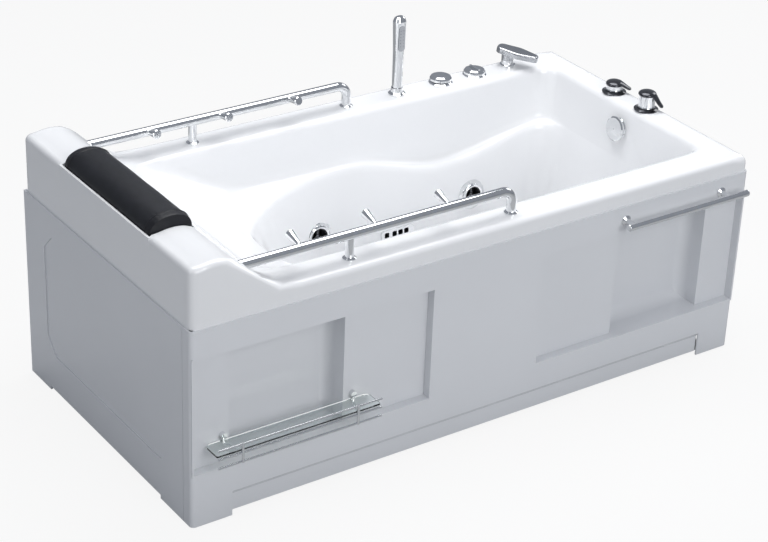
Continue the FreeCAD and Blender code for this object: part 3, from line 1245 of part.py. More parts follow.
def pump_rotor():
    """Motor shaft with the impeller on its end."""
    shaft = rod(9, on_pump_axis(MOTOR_X0 + 22), on_pump_axis(VOLUTE_X1 - 14))
    back = MOTOR_X1 + 12
    disc = rod(IMPELLER_R, on_pump_axis(back), on_pump_axis(back + 5))
    vanes = []
    for i in range(6):
        vane = box(0, IMPELLER_R - 14, -2, 2, 0, VOLUTE_LEN - 34)
        vane.Placement = FreeCAD.Placement(Vector(12, 0, 0), Rotation(Z_AXIS, 35))
        holder = vane.copy()
        holder.rotate(Vector(0, 0, 0), Z_AXIS, 60 * i)
        vanes.append(holder)
    blades = fuse(vanes).common(Part.makeCylinder(IMPELLER_R, 200, Vector(0, 0, -50)))
    blades.Placement = FreeCAD.Placement(on_pump_axis(back + 4), Rotation(Z_AXIS, X_AXIS))
    return fuse([shaft, disc, blades])


def control_box():
    x0 = cross_xs()[0] + 24
    y0 = PUMP_AXIS_Y + 248 - BOX_W
    z0 = PLATE_Z + PLATE_T
    case = box(x0, x0 + BOX_LEN, y0, y0 + BOX_W, z0, z0 + BOX_H)
    case = case.makeFillet(6, [e for e in case.Edges if is_upright(e)])
    lid = box(x0 - 2, x0 + BOX_LEN + 2, y0 - 2, y0 + BOX_W + 2, z0 + BOX_H - 14, z0 + BOX_H - 10)
    gland_z = z0 + BOX_H / 2
    back = y0 + BOX_W
    gland_x = x0 + BOX_LEN / 2
    gland = rod(GLAND_R + 4, Vector(gland_x, back - 1, gland_z), Vector(gland_x, back + GLAND_LEN, gland_z))
    gland_bore = rod(GLAND_R, Vector(gland_x, back - 4, gland_z),
                     Vector(gland_x, back + GLAND_LEN + 1, gland_z))
    return fuse([case, lid, gland]).cut(gland_bore)


def jet_line_y(side):
    """Middle of a pressure main: through the jets' bodies, behind each wall."""
    offset = side_inset(JET_Z) - SHELL_T - 30
    return BACK_Y - offset if side > 0 else FRONT_Y + offset


def jet_cores():
    """Room that the jets' barrels take from the pipes."""
    core = Part.makeCylinder(JET_BODY_R, JET_BODY_LEN * 2, Vector(0, 0, -JET_BODY_LEN))
    return Part.makeCompound([placed(core, *place) for place in jet_places()])


def water_pipes():
    """Suction pipe to the pump, riser, and a main along each side that feeds its jets."""
    riser_x = MOTOR_X1 + VOLUTE_LEN / 2
    riser_z = PUMP_AXIS_Z + VOLUTE_R + 60
    pipes = []
    seat = PUMP_AXIS_Z + VOLUTE_R - 10
    pipes.append(rod(PIPE_R, Vector(riser_x, PUMP_AXIS_Y, seat),
                     Vector(riser_x, PUMP_AXIS_Y, riser_z + PIPE_R)))
    for side in SIDES:
        y = jet_line_y(side)
        lead = HEAD_X + JET_HEAD - 120
        points = [Vector(riser_x, PUMP_AXIS_Y, riser_z), Vector(riser_x, y, riser_z),
                  Vector(lead, y, riser_z),
                  Vector(lead, y, JET_Z), Vector(FOOT_X - JET_FOOT, y, JET_Z)]
        pipes.append(pipe_run(points, PIPE_R, 2 * PIPE_R))
    mains = fuse(pipes)
    position, facing = suction_place()
    y = position.y + 62
    inlet = on_pump_axis(VOLUTE_X1 + 2)
    bend_x = VOLUTE_X1 + 60
    suction = pipe_run([inlet, Vector(bend_x, inlet.y, inlet.z), Vector(bend_x, y, inlet.z),
                        Vector(bend_x + 90, y, SUCTION_Z), Vector(position.x, y, SUCTION_Z),
                        Vector(position.x, position.y + 30, SUCTION_Z)], SUCTION_PIPE_R, 1.2 * SUCTION_PIPE_R)
    return [mains.cut(jet_cores()), suction.cut(suction_cavity())]


def suction_cavity():
    return placed(rounded_plate(SUCTION_W - 15, SUCTION_H - 11, 5, -34, 10), *suction_place())


def air_pipes():
    """Air ring from the air valve, round the foot end, with a drop to each jet."""
    ring_z = JET_Z + AIR_RING_RISE
    far = jet_line_y(1)
    near = jet_line_y(-1)
    end_x = FOOT_X - 16
    valve = Vector(AIR_DIAL_X, FITTING_Y, RIM_Z - FITTING_SHANK_LEN - 34 - 16)
    first = HEAD_X + JET_HEAD
    pipes = [pipe_run([Vector(first, far, ring_z), Vector(end_x, far, ring_z), Vector(end_x, near, ring_z),
                       Vector(first, near, ring_z)], AIR_PIPE_R, 30)]
    turn = Vector(AIR_DIAL_X, FITTING_Y, ring_z)
    pipes.append(pipe_run([valve, turn, Vector(AIR_DIAL_X, far, ring_z)], AIR_PIPE_R, AIR_BEND_R))
    for position, facing in jet_places():
        side = 1 if position.y > MID_Y else -1
        y = far if side > 0 else near
        pipes.append(rod(AIR_DROP_R, Vector(position.x, y, ring_z), Vector(position.x, y, JET_Z)))
    ring = fuse(pipes)
    return ring.cut(jet_cores())


# ---------------------------------------------------------------- towel bar and shelf
def towel_post_xs():
    last = FOOT_X - TOWEL_POST_FOOT
    return (last - TOWEL_POST_SPAN, last)


def towel_bar():
    x1 = FOOT_X - TOWEL_FOOT
    y = FRONT_Y - TOWEL_PROUD
    bar = rod(TOWEL_R, Vector(x1 - TOWEL_LEN, y, TOWEL_Z), Vector(x1, y, TOWEL_Z))
    return bar.makeFillet(TOWEL_R * 0.45, [edge for edge in bar.Edges if edge.BoundBox.XLength < 1e-3])


def towel_brackets():
    brackets = []
    for x in towel_post_xs():
        plate = turned([(0, 0), (14, 0), (14, 3), (10, 6), (7, 8), (7, TOWEL_PROUD), (0, TOWEL_PROUD)])
        stud = Part.makeCylinder(STUD_R, APRON_T + 6, Vector(0, 0, -APRON_T - 6))
        nut = prism(hexagon(9), on_xy(-APRON_T - 6), Vector(0, 0, 6))
        bracket = placed(fuse([plate, stud, nut]), Vector(x, FRONT_Y, TOWEL_Z), Vector(0, -1, 0))
        y = FRONT_Y - TOWEL_PROUD
        brackets.append(bracket.cut(rod(TOWEL_R, Vector(x - 40, y, TOWEL_Z), Vector(x + 40, y, TOWEL_Z))))
    return brackets


def shelf_z():
    """Middle of the wall plates: level with the upper rod."""
    return SHELF_LOW_Z + 2 * SHELF_ROD_PITCH - 1


def shelf_root_xs():
    return (HEAD_X + SHELF_HEAD - SHELF_ROOT_HALF, HEAD_X + SHELF_HEAD + SHELF_ROOT_HALF)


def glass_z():
    return SHELF_LOW_Z + SHELF_ROD_PITCH + SHELF_ROD_R + 0.3


def shelf_frame():
    """Three gallery rods on two uprights, carried by arms from round wall plates."""
    middle = HEAD_X + SHELF_HEAD
    y_rods = FRONT_Y - SHELF_PROUD
    y_wall = FRONT_Y + NICHE_DEPTH
    pieces = []
    for i in range(3):
        z = SHELF_LOW_Z + SHELF_ROD_PITCH * i
        pieces.append(rod(SHELF_ROD_R, Vector(middle - SHELF_HALF, y_rods, z),
                          Vector(middle + SHELF_HALF, y_rods, z)))
    arm_z = SHELF_LOW_Z + SHELF_ROD_PITCH
    for sign, root_x in zip(SIDES, shelf_root_xs()):
        post_x = middle + sign * SHELF_POST_HALF
        pieces.append(rod(SHELF_ROD_R + 0.6, Vector(post_x, y_rods, SHELF_LOW_Z - 3),
                          Vector(post_x, y_rods, SHELF_LOW_Z + 2 * SHELF_ROD_PITCH + 3)))
        pieces.append(rod(SHELF_ROD_R, Vector(post_x, y_rods, arm_z), Vector(root_x, y_wall - 3, arm_z)))
        pieces.append(rod(SHELF_ROD_R, Vector(root_x, y_wall - 8, arm_z),
                          Vector(root_x, y_wall - 8, shelf_z())))
        pieces.append(rod(8, Vector(root_x, y_wall, shelf_z()), Vector(root_x, y_wall - 12, shelf_z())))
        pieces.append(rod(SCREW_R, Vector(root_x, y_wall - 2, shelf_z()),
                          Vector(root_x, y_wall + APRON_T + 4, shelf_z())))
    return fuse(pieces)


def glass_shelf():
    middle = HEAD_X + SHELF_HEAD
    y0 = FRONT_Y - SHELF_PROUD + SHELF_ROD_R + 1.2
    y1 = FRONT_Y + NICHE_DEPTH - 2.0
    half = SHELF_HALF
    slab = prism([(middle - half, y0, 4), (middle + half, y0, 4), (middle + half, y1, 14),
                  (middle - half, y1, 14)],
                 on_xy(glass_z()), Vector(0, 0, GLASS_T))
    plates = [rod(9.5, Vector(x, y1 + 30, shelf_z()), Vector(x, y1 - 12, shelf_z())) for x in shelf_root_xs()]
    plates += [rod(SHELF_ROD_R + 0.5, Vector(x, y1 - 6, arm_z), Vector(x, y1 - 6, arm_z + 60))
               for x in shelf_root_xs() for arm_z in (SHELF_LOW_Z + SHELF_ROD_PITCH,)]
    return slab.cut(Part.makeCompound(plates))


# ---------------------------------------------------------------- build
FOOT_NAMES = ("front_head", "front_middle", "front_foot", "back_head", "back_middle", "back_foot")
JET_NAMES = ("back_head", "back_foot", "front_head", "front_foot")
TAP_TURNS = (-57, -50)


def build():
    export("tub_shell", tub_shell())
    export("head_pillow", head_pillow())
    export("pillow_studs", *pillow_studs())
    export("front_apron", front_apron())
    export("end_apron", end_apron())
    export("apron_clips", *apron_clips())
    export("support_frame", *support_frame())
    export("base_board", base_board())
    for name, (x, y) in zip(FOOT_NAMES, foot_places()):
        export("levelling_foot_" + name, levelling_foot(x, y))
    export("grab_rail_front", grab_rail(-1))
    export("grab_rail_back", grab_rail(1))
    export("rail_posts", *rail_posts())
    export("rail_pegs", *rail_pegs())
    export("rail_nuts", *rail_nuts())
    export("hand_shower", hand_shower())
    export("shower_spray_face", spray_face())
    export("shower_holder", shower_holder())
    export("shower_hose_guide", shower_hose_guide())
    export("air_button", air_button())
    export("air_button_base", air_button_base())
    export("air_dial", air_dial())
    export("air_dial_base", air_dial_base())
    export("air_switch_body", air_switch_body())
    export("air_valve_body", air_valve_body())
    export("spout_base", spout_base())
    export("spout", spout())
    export("spout_shank", *spout_shank())
    export("tap_flanges", *[placed(tap_flange(), Vector(TAP_X, y, RIM_Z)) for y in TAP_YS])
    heights = (MIXER_BODY_H, DIVERTER_BODY_H)
    for name, turn, height, y in zip(("mixer_handle", "diverter_handle"), TAP_TURNS, heights, TAP_YS):
        handle = tap_handle(turn, height)
        handle.translate(Vector(TAP_X, y, RIM_Z))
        export(name, handle)
    export("tap_valves", *tap_valves())
    export("overflow_ring", overflow_ring())
    export("overflow_knob", overflow_knob())
    export("overflow_pipe", overflow_pipe())
    export("drain_flange", drain_flange())
    export("drain_plug", drain_plug())
    export("waste_trap", waste_trap())
    export("jet_rings", *[placed(jet_ring(), p, f) for p, f in jet_places()])
    export("jet_bodies", *[placed(jet_body(), p, f) for p, f in jet_places()])
    for name, (position, facing) in zip(JET_NAMES, jet_places()):
        export("jet_rotor_" + name, placed(jet_rotor(), position, facing))
    export("suction_cover", suction_cover())
    export("suction_box", suction_box())
    export("pump_motor", pump_motor())
    export("pump_volute", pump_volute())
    export("pump_rotor", pump_rotor())
    export("control_box", control_box())
    export("water_pipes", *water_pipes())
    export("air_pipes", air_pipes())
    export("towel_bar", towel_bar())
    export("towel_brackets", *towel_brackets())
    export("shelf_frame", shelf_frame())
    export("glass_shelf", glass_shelf())


build()
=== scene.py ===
"""Looks of a jetted bathtub: acrylic tub, head cushion, chrome rails and fittings, jets and aprons."""
import json
import math
from typing import NamedTuple

import bpy
from mathutils import Matrix, Vector


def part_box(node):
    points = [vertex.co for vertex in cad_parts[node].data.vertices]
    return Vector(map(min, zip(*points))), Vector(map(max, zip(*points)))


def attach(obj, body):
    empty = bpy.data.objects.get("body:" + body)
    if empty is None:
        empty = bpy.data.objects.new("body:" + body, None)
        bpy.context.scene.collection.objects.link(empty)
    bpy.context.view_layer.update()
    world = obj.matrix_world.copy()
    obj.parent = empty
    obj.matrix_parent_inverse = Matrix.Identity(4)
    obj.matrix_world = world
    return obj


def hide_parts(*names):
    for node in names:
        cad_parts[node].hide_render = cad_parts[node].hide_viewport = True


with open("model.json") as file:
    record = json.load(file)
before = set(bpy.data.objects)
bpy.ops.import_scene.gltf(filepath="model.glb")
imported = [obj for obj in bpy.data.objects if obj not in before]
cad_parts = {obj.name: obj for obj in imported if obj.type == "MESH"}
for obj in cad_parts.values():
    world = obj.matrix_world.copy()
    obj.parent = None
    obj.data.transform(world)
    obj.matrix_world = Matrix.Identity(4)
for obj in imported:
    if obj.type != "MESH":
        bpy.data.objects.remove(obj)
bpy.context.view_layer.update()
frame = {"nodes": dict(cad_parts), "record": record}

bl_info = {
    "name": "Jetted bathtub looks",
    "version": (1, 0, 0),
    "blender": (4, 5, 0),
    "location": "View3D > Sidebar > Bathtub",
    "description": "Builds the surfaces, cushion, handles and finishes of a jetted bathtub",
    "category": "Object",
}

PILLOW_LOW, PILLOW_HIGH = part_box("head_pillow")


# ---------------------------------------------------------------- sizes and colours a user may change
class TubSizes(bpy.types.PropertyGroup):
    rim_z: bpy.props.FloatProperty(
        name="Deck height", description="Height of the flat deck over the floor",
        default=0.582, unit="LENGTH")
    fascia_z: bpy.props.FloatProperty(
        name="Fascia's lower edge", description="Height of the lower edge of the tub's rim",
        default=0.537, unit="LENGTH")
    floor_z: bpy.props.FloatProperty(
        name="Basin floor", description="Height of the basin's floor",
        default=0.160, unit="LENGTH")
    wall: bpy.props.FloatProperty(
        name="Laminate", description="Thickness of the acrylic laminate",
        default=0.006, unit="LENGTH")
    deck_side: bpy.props.FloatProperty(
        name="Side deck", description="Width of the deck along each side",
        default=0.100, unit="LENGTH")
    deck_foot: bpy.props.FloatProperty(
        name="Foot deck", description="Width of the deck at the foot",
        default=0.084, unit="LENGTH")


class TubColours(bpy.types.PropertyGroup):
    acrylic: bpy.props.FloatVectorProperty(
        name="Tub acrylic", description="Colour of the deck and the basin",
        default=(0.88, 0.885, 0.895), size=3, min=0, max=1, subtype="COLOR")
    # Apron colour: a darker, bluer copy of the tub acrylic, painted shade of the upright apron faces
    apron: bpy.props.FloatVectorProperty(
        name="Apron acrylic", description="Colour of the two aprons",
        default=(0.74, 0.752, 0.775), size=3, min=0, max=1, subtype="COLOR")
    cushion: bpy.props.FloatVectorProperty(
        name="Cushion", description="Colour of the moulded foam cushion",
        default=(0.0085, 0.0092, 0.0125), size=3, min=0, max=1, subtype="COLOR")
    chrome: bpy.props.FloatVectorProperty(
        name="Chrome", description="Colour of the plated parts",
        default=(0.78, 0.79, 0.80), size=3, min=0, max=1, subtype="COLOR")
    dark: bpy.props.FloatVectorProperty(
        name="Dark gloss", description="Colour of the dark plated caps and levers",
        default=(0.045, 0.047, 0.055), size=3, min=0, max=1, subtype="COLOR")


def sizes():
    return bpy.context.scene.tub_sizes


def colours():
    return bpy.context.scene.tub_colours


# ---------------------------------------------------------------- material maths
class Signal:
    """A socket that gives a number or a colour; arithmetic on a number adds Math nodes."""

    def __init__(self, maker, socket):
        self.maker = maker
        self.socket = socket

    def _math(self, operation, first, second):
        return self.maker.node("ShaderNodeMath", {"operation": operation}, {0: first, 1: second})

    def __add__(self, other):
        return self._math("ADD", self, other)

    def __radd__(self, other):
        return self._math("ADD", other, self)

    def __mul__(self, other):
        return self._math("MULTIPLY", self, other)

    def __rmul__(self, other):
        return self._math("MULTIPLY", other, self)

    def clamped(self):
        return self.maker.node("ShaderNodeClamp", {}, {"Value": self})

    def power(self, exponent):
        return self._math("POWER", self, exponent)


class NodeMaker:
    """Adds nodes to the tree of a material or of the world."""

    def __init__(self, tree):
        self.tree = tree

    def node(self, kind, settings, inputs, output=0):
        """Adds a node of a type, sets its settings, then its sockets' values or links."""
        node = self.tree.nodes.new(kind)
        for key, value in settings.items():
            if key == "stops":
                self.set_stops(node.color_ramp, value)
            else:
                setattr(node, key, value)
        for socket, value in inputs.items():
            if isinstance(value, Signal):
                self.tree.links.new(value.socket, node.inputs[socket])
            else:
                node.inputs[socket].default_value = value
        return Signal(self, node.outputs[output])

    def set_stops(self, ramp, stops):
        while len(ramp.elements) < len(stops):
            ramp.elements.new(0.5)
        for element, (place, colour) in zip(ramp.elements, stops):
            element.position = place
            element.color = (*colour, 1)

    def background_share(self):
        """1 where the camera sees a surface, directly or through clear glass."""
        seen = self.node("ShaderNodeLightPath", {}, {}, "Is Camera Ray")
        through = Signal(self, seen.socket.node.outputs["Is Transmission Ray"])
        return (seen + through).clamped()


class Finish(NodeMaker):
    """One material, with its shader and the nodes that feed it."""

    def __init__(self, name, **constants):
        self.material = bpy.data.materials.new(name)
        self.material.use_nodes = True
        super().__init__(self.material.node_tree)
        self.shader = self.tree.nodes["Principled BSDF"]
        self.output = self.tree.nodes["Material Output"]
        for socket, value in constants.items():
            self.shader.inputs[socket.replace("_", " ")].default_value = value

    def feed(self, socket, signal):
        self.tree.links.new(signal.socket, self.shader.inputs[socket])

    def place(self):
        """Object coordinates, in metres in the tub's frame."""
        return self.node("ShaderNodeTexCoord", {}, {}, "Object")

    def scaled(self, scale):
        return self.node("ShaderNodeMapping", {}, {"Vector": self.place(), "Scale": scale})

    def noise(self, scale, detail=2.0, stretch=(1, 1, 1)):
        return self.node("ShaderNodeTexNoise", {}, {
            "Vector": self.scaled(stretch), "Scale": scale, "Detail": detail})

    def cells(self, place, scale):
        """A grey level for each flat cell round scattered points."""
        tint = self.node("ShaderNodeTexVoronoi", {}, {"Vector": place, "Scale": scale}, "Color")
        return self.node("ShaderNodeSeparateColor", {}, {0: tint})

    def ramp(self, signal, *stops):
        return self.node("ShaderNodeValToRGB", {"stops": stops}, {0: signal})

    def tint(self, signal, colour, low, high, start=0.3, stop=0.7):
        """Feeds the base colour, from a low to a high share of it, along a signal."""
        self.feed("Base Color", self.ramp(signal, (start, shade(colour, low)), (stop, shade(colour, high))))

    def bump(self, signal, strength, distance):
        self.feed("Normal", self.node("ShaderNodeBump", {}, {
            "Strength": strength, "Distance": distance, "Height": signal}))


def shade(colour, share):
    return tuple(min(1.0, c * share) for c in colour)


# ---------------------------------------------------------------- finishes
def acrylic_finish(name, colour):
    """Gloss acrylic over glass fibre: faint waviness, slightly uneven gloss."""
    finish = Finish(name, Coat_Weight=0.35, Coat_Roughness=0.04, IOR=1.49)
    finish.tint(finish.noise(2.2, 3.0), colour, 0.985, 1.012)
    finish.feed("Roughness", 0.10 + 0.05 * finish.noise(9.0))
    finish.bump(finish.noise(14.0, 1.0), 0.05, 0.0015)
    return finish.material


def moulded_skin_finish(name, colour):
    """Self-skinned foam with a fine grained skin and a soft sheen."""
    finish = Finish(name, Sheen_Weight=0.03, Sheen_Roughness=0.45, Specular_IOR_Level=0.30)
    grain = finish.node("ShaderNodeTexVoronoi", {"feature": "DISTANCE_TO_EDGE"}, {
        "Vector": finish.place(), "Scale": 620.0})
    soft = finish.noise(40.0, 3.0)
    finish.tint(soft, colour, 0.8, 1.5, stop=0.75)
    finish.feed("Roughness", 0.36 + 0.14 * soft)
    finish.bump(grain.power(0.5) + 0.8 * soft, 0.30, 0.0006)
    return finish.material


def chrome_finish(name, colour, rough=0.05):
    """Plated metal: fine polishing marks and a little uneven haze."""
    finish = Finish(name, Metallic=1.0)
    haze = finish.noise(30.0, 3.0)
    marks = finish.noise(260.0, stretch=(1, 1, 0.12))
    finish.tint(haze, colour, 0.96, 1.04)
    finish.feed("Roughness", rough + 0.035 * haze + 0.02 * marks)
    finish.bump(marks, 0.03, 0.0002)
    return finish.material


def dark_gloss_finish(name, colour):
    """Dark plated metal with a clear lacquer."""
    finish = Finish(name, Metallic=0.75, Coat_Weight=0.6, Coat_Roughness=0.05)
    haze = finish.noise(45.0, 3.0)
    finish.tint(haze, colour, 0.8, 1.3)
    finish.feed("Roughness", 0.14 + 0.08 * haze)
    finish.bump(finish.noise(320.0), 0.02, 0.0002)
    return finish.material


def matt_plastic_finish(name, colour, rough=0.5):
    """Moulded plastic or rubber with a fine grain."""
    finish = Finish(name, IOR=1.46)
    grain = finish.noise(420.0, 3.0)
    finish.tint(finish.noise(18.0, 3.0), colour, 0.88, 1.1)
    finish.feed("Roughness", rough + 0.12 * grain)
    finish.bump(grain, 0.15, 0.0004)
    return finish.material


def galvanised_finish(name, colour):
    """Zinc spangle in flat cells of slightly different grey."""
    finish = Finish(name, Metallic=0.85)
    level = finish.cells(finish.place(), 85.0)
    finish.tint(level, colour, 0.75, 1.1, 0.1, 0.9)
    finish.feed("Roughness", 0.34 + 0.16 * level)
    finish.bump(finish.noise(160.0, 3.0), 0.08, 0.0005)
    return finish.material


def brushed_finish(name, colour):
    """Machined metal with upright brush lines."""
    finish = Finish(name, Metallic=1.0)
    lines = finish.noise(900.0, stretch=(1, 1, 0.04))
    finish.tint(lines, colour, 0.85, 1.1)
    finish.feed("Roughness", 0.24 + 0.16 * lines)
    finish.bump(lines, 0.1, 0.0002)
    return finish.material


def board_finish(name, colour):
    """Raw board of pressed chips."""
    finish = Finish(name)
    level = finish.cells(finish.scaled((1, 2.4, 1)), 90.0)
    fibre = finish.noise(60.0, 4.0, (1, 5, 1))
    finish.tint(0.6 * level + 0.4 * fibre, colour, 0.6, 1.15, 0.15, 0.9)
    finish.feed("Roughness", 0.7 + 0.15 * fibre)
    finish.bump(level + fibre, 0.25, 0.0008)
    return finish.material


def glass_finish(name):
    """Clear float glass with a slight green body."""
    finish = Finish(name, Transmission_Weight=1.0, IOR=1.5)
    smear = finish.noise(12.0, 3.0)
    finish.feed("Base Color", finish.ramp(smear, (0.3, (0.93, 0.985, 0.97)), (0.7, (0.96, 1.0, 0.985))))
    finish.feed("Roughness", 0.01 + 0.02 * smear)
    return finish.material


def motor_paint_finish(name, colour):
    """Sprayed enamel with a light orange peel."""
    finish = Finish(name, Coat_Weight=0.2)
    peel = finish.noise(240.0)
    finish.tint(finish.noise(20.0, 3.0), colour, 0.85, 1.15)
    finish.feed("Roughness", 0.38 + 0.1 * peel)
    finish.bump(peel, 0.1, 0.0004)
    return finish.material


def make_finishes():
    """Every finish by its slot's name in the record, and the satin grey of the spout."""
    tone = colours()
    return {
        "acrylic": acrylic_finish("tub_acrylic", tone.acrylic),
        # The aprons get the tub's acrylic in a darker tone: painted shade of their upright faces
        "apron_acrylic": acrylic_finish("apron_acrylic", tone.apron),
        "pillow": moulded_skin_finish("cushion_skin", tone.cushion),
        "black_plastic": matt_plastic_finish("black_plastic", (0.02, 0.02, 0.023), 0.32),
        "chrome": chrome_finish("chrome", tone.chrome),
        "dark_gloss": dark_gloss_finish("dark_gloss", tone.dark),
        "satin_grey": chrome_finish("satin_grey", (0.50, 0.51, 0.53), 0.22),
        "steel": galvanised_finish("galvanised_steel", (0.55, 0.57, 0.59)),
        "screw_steel": brushed_finish("brushed_steel", (0.6, 0.6, 0.61)),
        "board": board_finish("raw_board", (0.52, 0.37, 0.2)),
        "pipe": matt_plastic_finish("pipe_plastic", (0.76, 0.76, 0.74), 0.3),
        "air_hose": matt_plastic_finish("air_hose_plastic", (0.42, 0.47, 0.49), 0.22),
        "rubber": matt_plastic_finish("rubber", (0.025, 0.025, 0.025), 0.62),
        "brass": brushed_finish("brass", (0.72, 0.5, 0.2)),
        "glass": glass_finish("clear_glass"),
        "motor": motor_paint_finish("motor_paint", (0.05, 0.055, 0.065)),
    }


def finish_named(slot):
    """The material of a slot, made once and then found by its name."""
    store = bpy.context.scene.get("finish_names")
    if store is None:
        made = make_finishes()
        bpy.context.scene["finish_names"] = {slot_name: m.name for slot_name, m in made.items()}
        store = bpy.context.scene["finish_names"]
    return bpy.data.materials[store[slot]]


# ---------------------------------------------------------------- modelling helpers
MERGE = 1e-5                  # points closer than this become one


def deselect():
    bpy.ops.object.select_all(action="DESELECT")


def only(piece):
    """Leaves one piece selected and active."""
    deselect()
    piece.select_set(True)
    bpy.context.view_layer.objects.active = piece


def named_active(name):
    piece = bpy.context.active_object
    piece.name = name
    piece.data.name = name
    return piece


def place_in_mesh(piece):
    """Moves a piece's place, turn and scale from the object to its mesh."""
    only(piece)
    bpy.ops.object.transform_apply(location=True, rotation=True, scale=True)


def apply_modifiers(piece):
    only(piece)
    for modifier in list(piece.modifiers):
        bpy.ops.object.modifier_apply(modifier=modifier.name)


def smooth(piece, degrees):
    """Smooth shading, apart from edges sharper than an angle."""
    only(piece)
    bpy.ops.object.shade_smooth_by_angle(angle=math.radians(degrees))


def add_modifier(piece, kind, **settings):
    modifier = piece.modifiers.new(kind.lower(), kind)
    for key, value in settings.items():
        setattr(modifier, key, value)


def combine(piece, tool, operation):
    """Joins a tool's solid to a piece or cuts it out, and removes the tool."""
    add_modifier(piece, "BOOLEAN", operation=operation, object=tool, solver="EXACT")
    apply_modifiers(piece)
    bpy.data.objects.remove(tool)


def mesh_piece(name, points, faces):
    """A piece from points and faces, where no operator gives the shape; its faces are turned outwards."""
    mesh = bpy.data.meshes.new(name)
    mesh.from_pydata(points, [], faces)
    mesh.validate()
    piece = bpy.data.objects.new(name, mesh)
    bpy.context.scene.collection.objects.link(piece)
    only(piece)
    bpy.ops.object.mode_set(mode="EDIT")
    bpy.ops.mesh.select_all(action="SELECT")
    bpy.ops.mesh.remove_doubles(threshold=MERGE)
    bpy.ops.mesh.normals_make_consistent(inside=False)
    bpy.ops.object.mode_set(mode="OBJECT")
    return piece


def tube_faces(rings, around):
    """Faces between rings of points that follow each other, with a flat cap at both ends."""
    faces = []
    for i in range(rings - 1):
        for k in range(around):
            j = (k + 1) % around
            faces.append((i * around + k, i * around + j, (i + 1) * around + j, (i + 1) * around + k))
    last = (rings - 1) * around
    return faces + [tuple(range(around)), tuple(range(last, last + around))]


def lathe(name, profile, at, turns=56):
    """A turned piece from its (radius, height) line, spun round the vertical through a place."""
    points, faces = [], []
    for i in range(turns):
        angle = 2 * math.pi * i / turns
        points += [(at[0] + r * math.cos(angle), at[1] + r * math.sin(angle), at[2] + z) for r, z in profile]
    count = len(profile)
    for i in range(turns):
        j = (i + 1) % turns
        for k in range(count - 1):
            faces.append((i * count + k, j * count + k, j * count + k + 1, i * count + k + 1))
    faces.append(tuple(i * count for i in range(turns)))
    faces.append(tuple(i * count + count - 1 for i in range(turns)))
    return mesh_piece(name, points, faces)


def dress(piece, slot, body, node):
    """Gives a finished piece its material and its body, and hides the node it stands for."""
    piece.data.materials.clear()
    piece.data.materials.append(finish_named(slot))
    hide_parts(node)
    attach(piece, body)


def middle_of(node, z=None):
    """Middle of a node's box, or the place at a height over or under it."""
    low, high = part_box(node)
    middle = (low + high) / 2
    return Vector((middle.x, middle.y, middle.z if z is None else z))


def between(a, b, t):
    return a + (b - a) * t


def ease(t):
    """0 to 1 with a level start and end."""
    t = max(0.0, min(1.0, t))
    return t * t * (3 - 2 * t)


def quarter(steps, first=1):
    """Angles of a quarter turn in equal steps."""
    return [math.pi / 2 * i / steps for i in range(first, steps + 1)]


# ---------------------------------------------------------------- tub surface
HEAD_X, FOOT_X = -0.850, 0.850
FRONT_Y, BACK_Y = -0.4005, 0.4495
MID_Y = (FRONT_Y + BACK_Y) / 2
SHELL_BACK = 0.005            # shell's faces behind the aprons' faces

SLOPE_FOOT = 0.238            # foot of the head wall's slope, from the head
SLOPE_LINE = (                # (from the head, height) along the head wall's crest and slope
    (0.0, 0.692), (0.030, 0.6935), (0.055, 0.6975), (0.081, 0.698), (0.107, 0.693), (0.134, 0.679),
    (0.160, 0.652), (0.187, 0.625), (0.215, 0.599), (0.238, 0.578), (0.262, 0.558))
SLOPE_END_FALL = 0.75         # fall of the line past its last point
DECK_BLEND = 0.020            # rounding between the slope and the side decks
LEAST_BLEND = 0.0005
HEAD_FADE = 0.07              # length over which the head's slope gives way to the level deck

FASCIA_STEPS = (0.0, 0.002, 0.012)    # close points over the fascia's lower edge
FASCIA_POINTS = 4
FASCIA_SPARE, LOW_FASCIA_SPARE = 0.004, 0.001
LOW_FASCIA = 0.05             # below this height the fascia's points end closer to its rounding
EDGE_SIDE, EDGE_FOOT = 0.015, 0.026
EDGE_FADE_FROM, EDGE_FADE = 0.06, 0.05
FOOTWARD = 0.3                # columns that point more to the foot than this have the foot's rounding
CORNER_HEAD, CORNER_FOOT = 0.018, 0.016
LEAST_CORNER = 0.002
LIP_R, LEAST_LIP = 0.017, 0.0004

ARM_Z = 0.444                 # armrest by the shoulders
ARM_LOW_Z = 0.379             # its lowest place, beside the hips
ARM_FOOT_Z = 0.434
ARM_PLACES = (0.900, 1.225, 1.600)
ARM_HEAD = 0.455              # head end of the bowl at the armrest
ARM_LEDGE = 0.020
ARM_TURN, BOWL_TURN = 0.022, 0.026    # heights of the bends over and under the armrest's edge
ARM_FALL, BOWL_FALL = 0.0015, 0.003
UPPER_LEAN = 0.018
UPPER_R_HEAD, UPPER_R_HEAD_GROWTH, UPPER_R_FOOT = 0.070, 0.10, 0.050
UPPER_PAST_ARM = 0.02         # how far under the armrest the upper wall's shape is followed

BOWL_HEAD_LONG = 0.425        # the bowl's head end is half an ellipse
BOWL_HEAD_SPARE = 0.015
BOWL_R_FOOT = 0.075
FLOOR_HEAD, FLOOR_HEAD_LONG = 0.565, 0.300
FLOOR_SHARES = (0.8, 0.5, 0.2)
LOWER_LEAN_SIDE, LOWER_LEAN_FOOT = 0.022, 0.044
ROLL = 0.045                  # rounding between walls and floor
SCOOP = 0.015                 # hollow in the side walls over the low armrest
SCOOP_PAST_LOW, SCOOP_HALF = 0.05, 0.36
SCOOP_FROM = 0.05             # its start under the deck

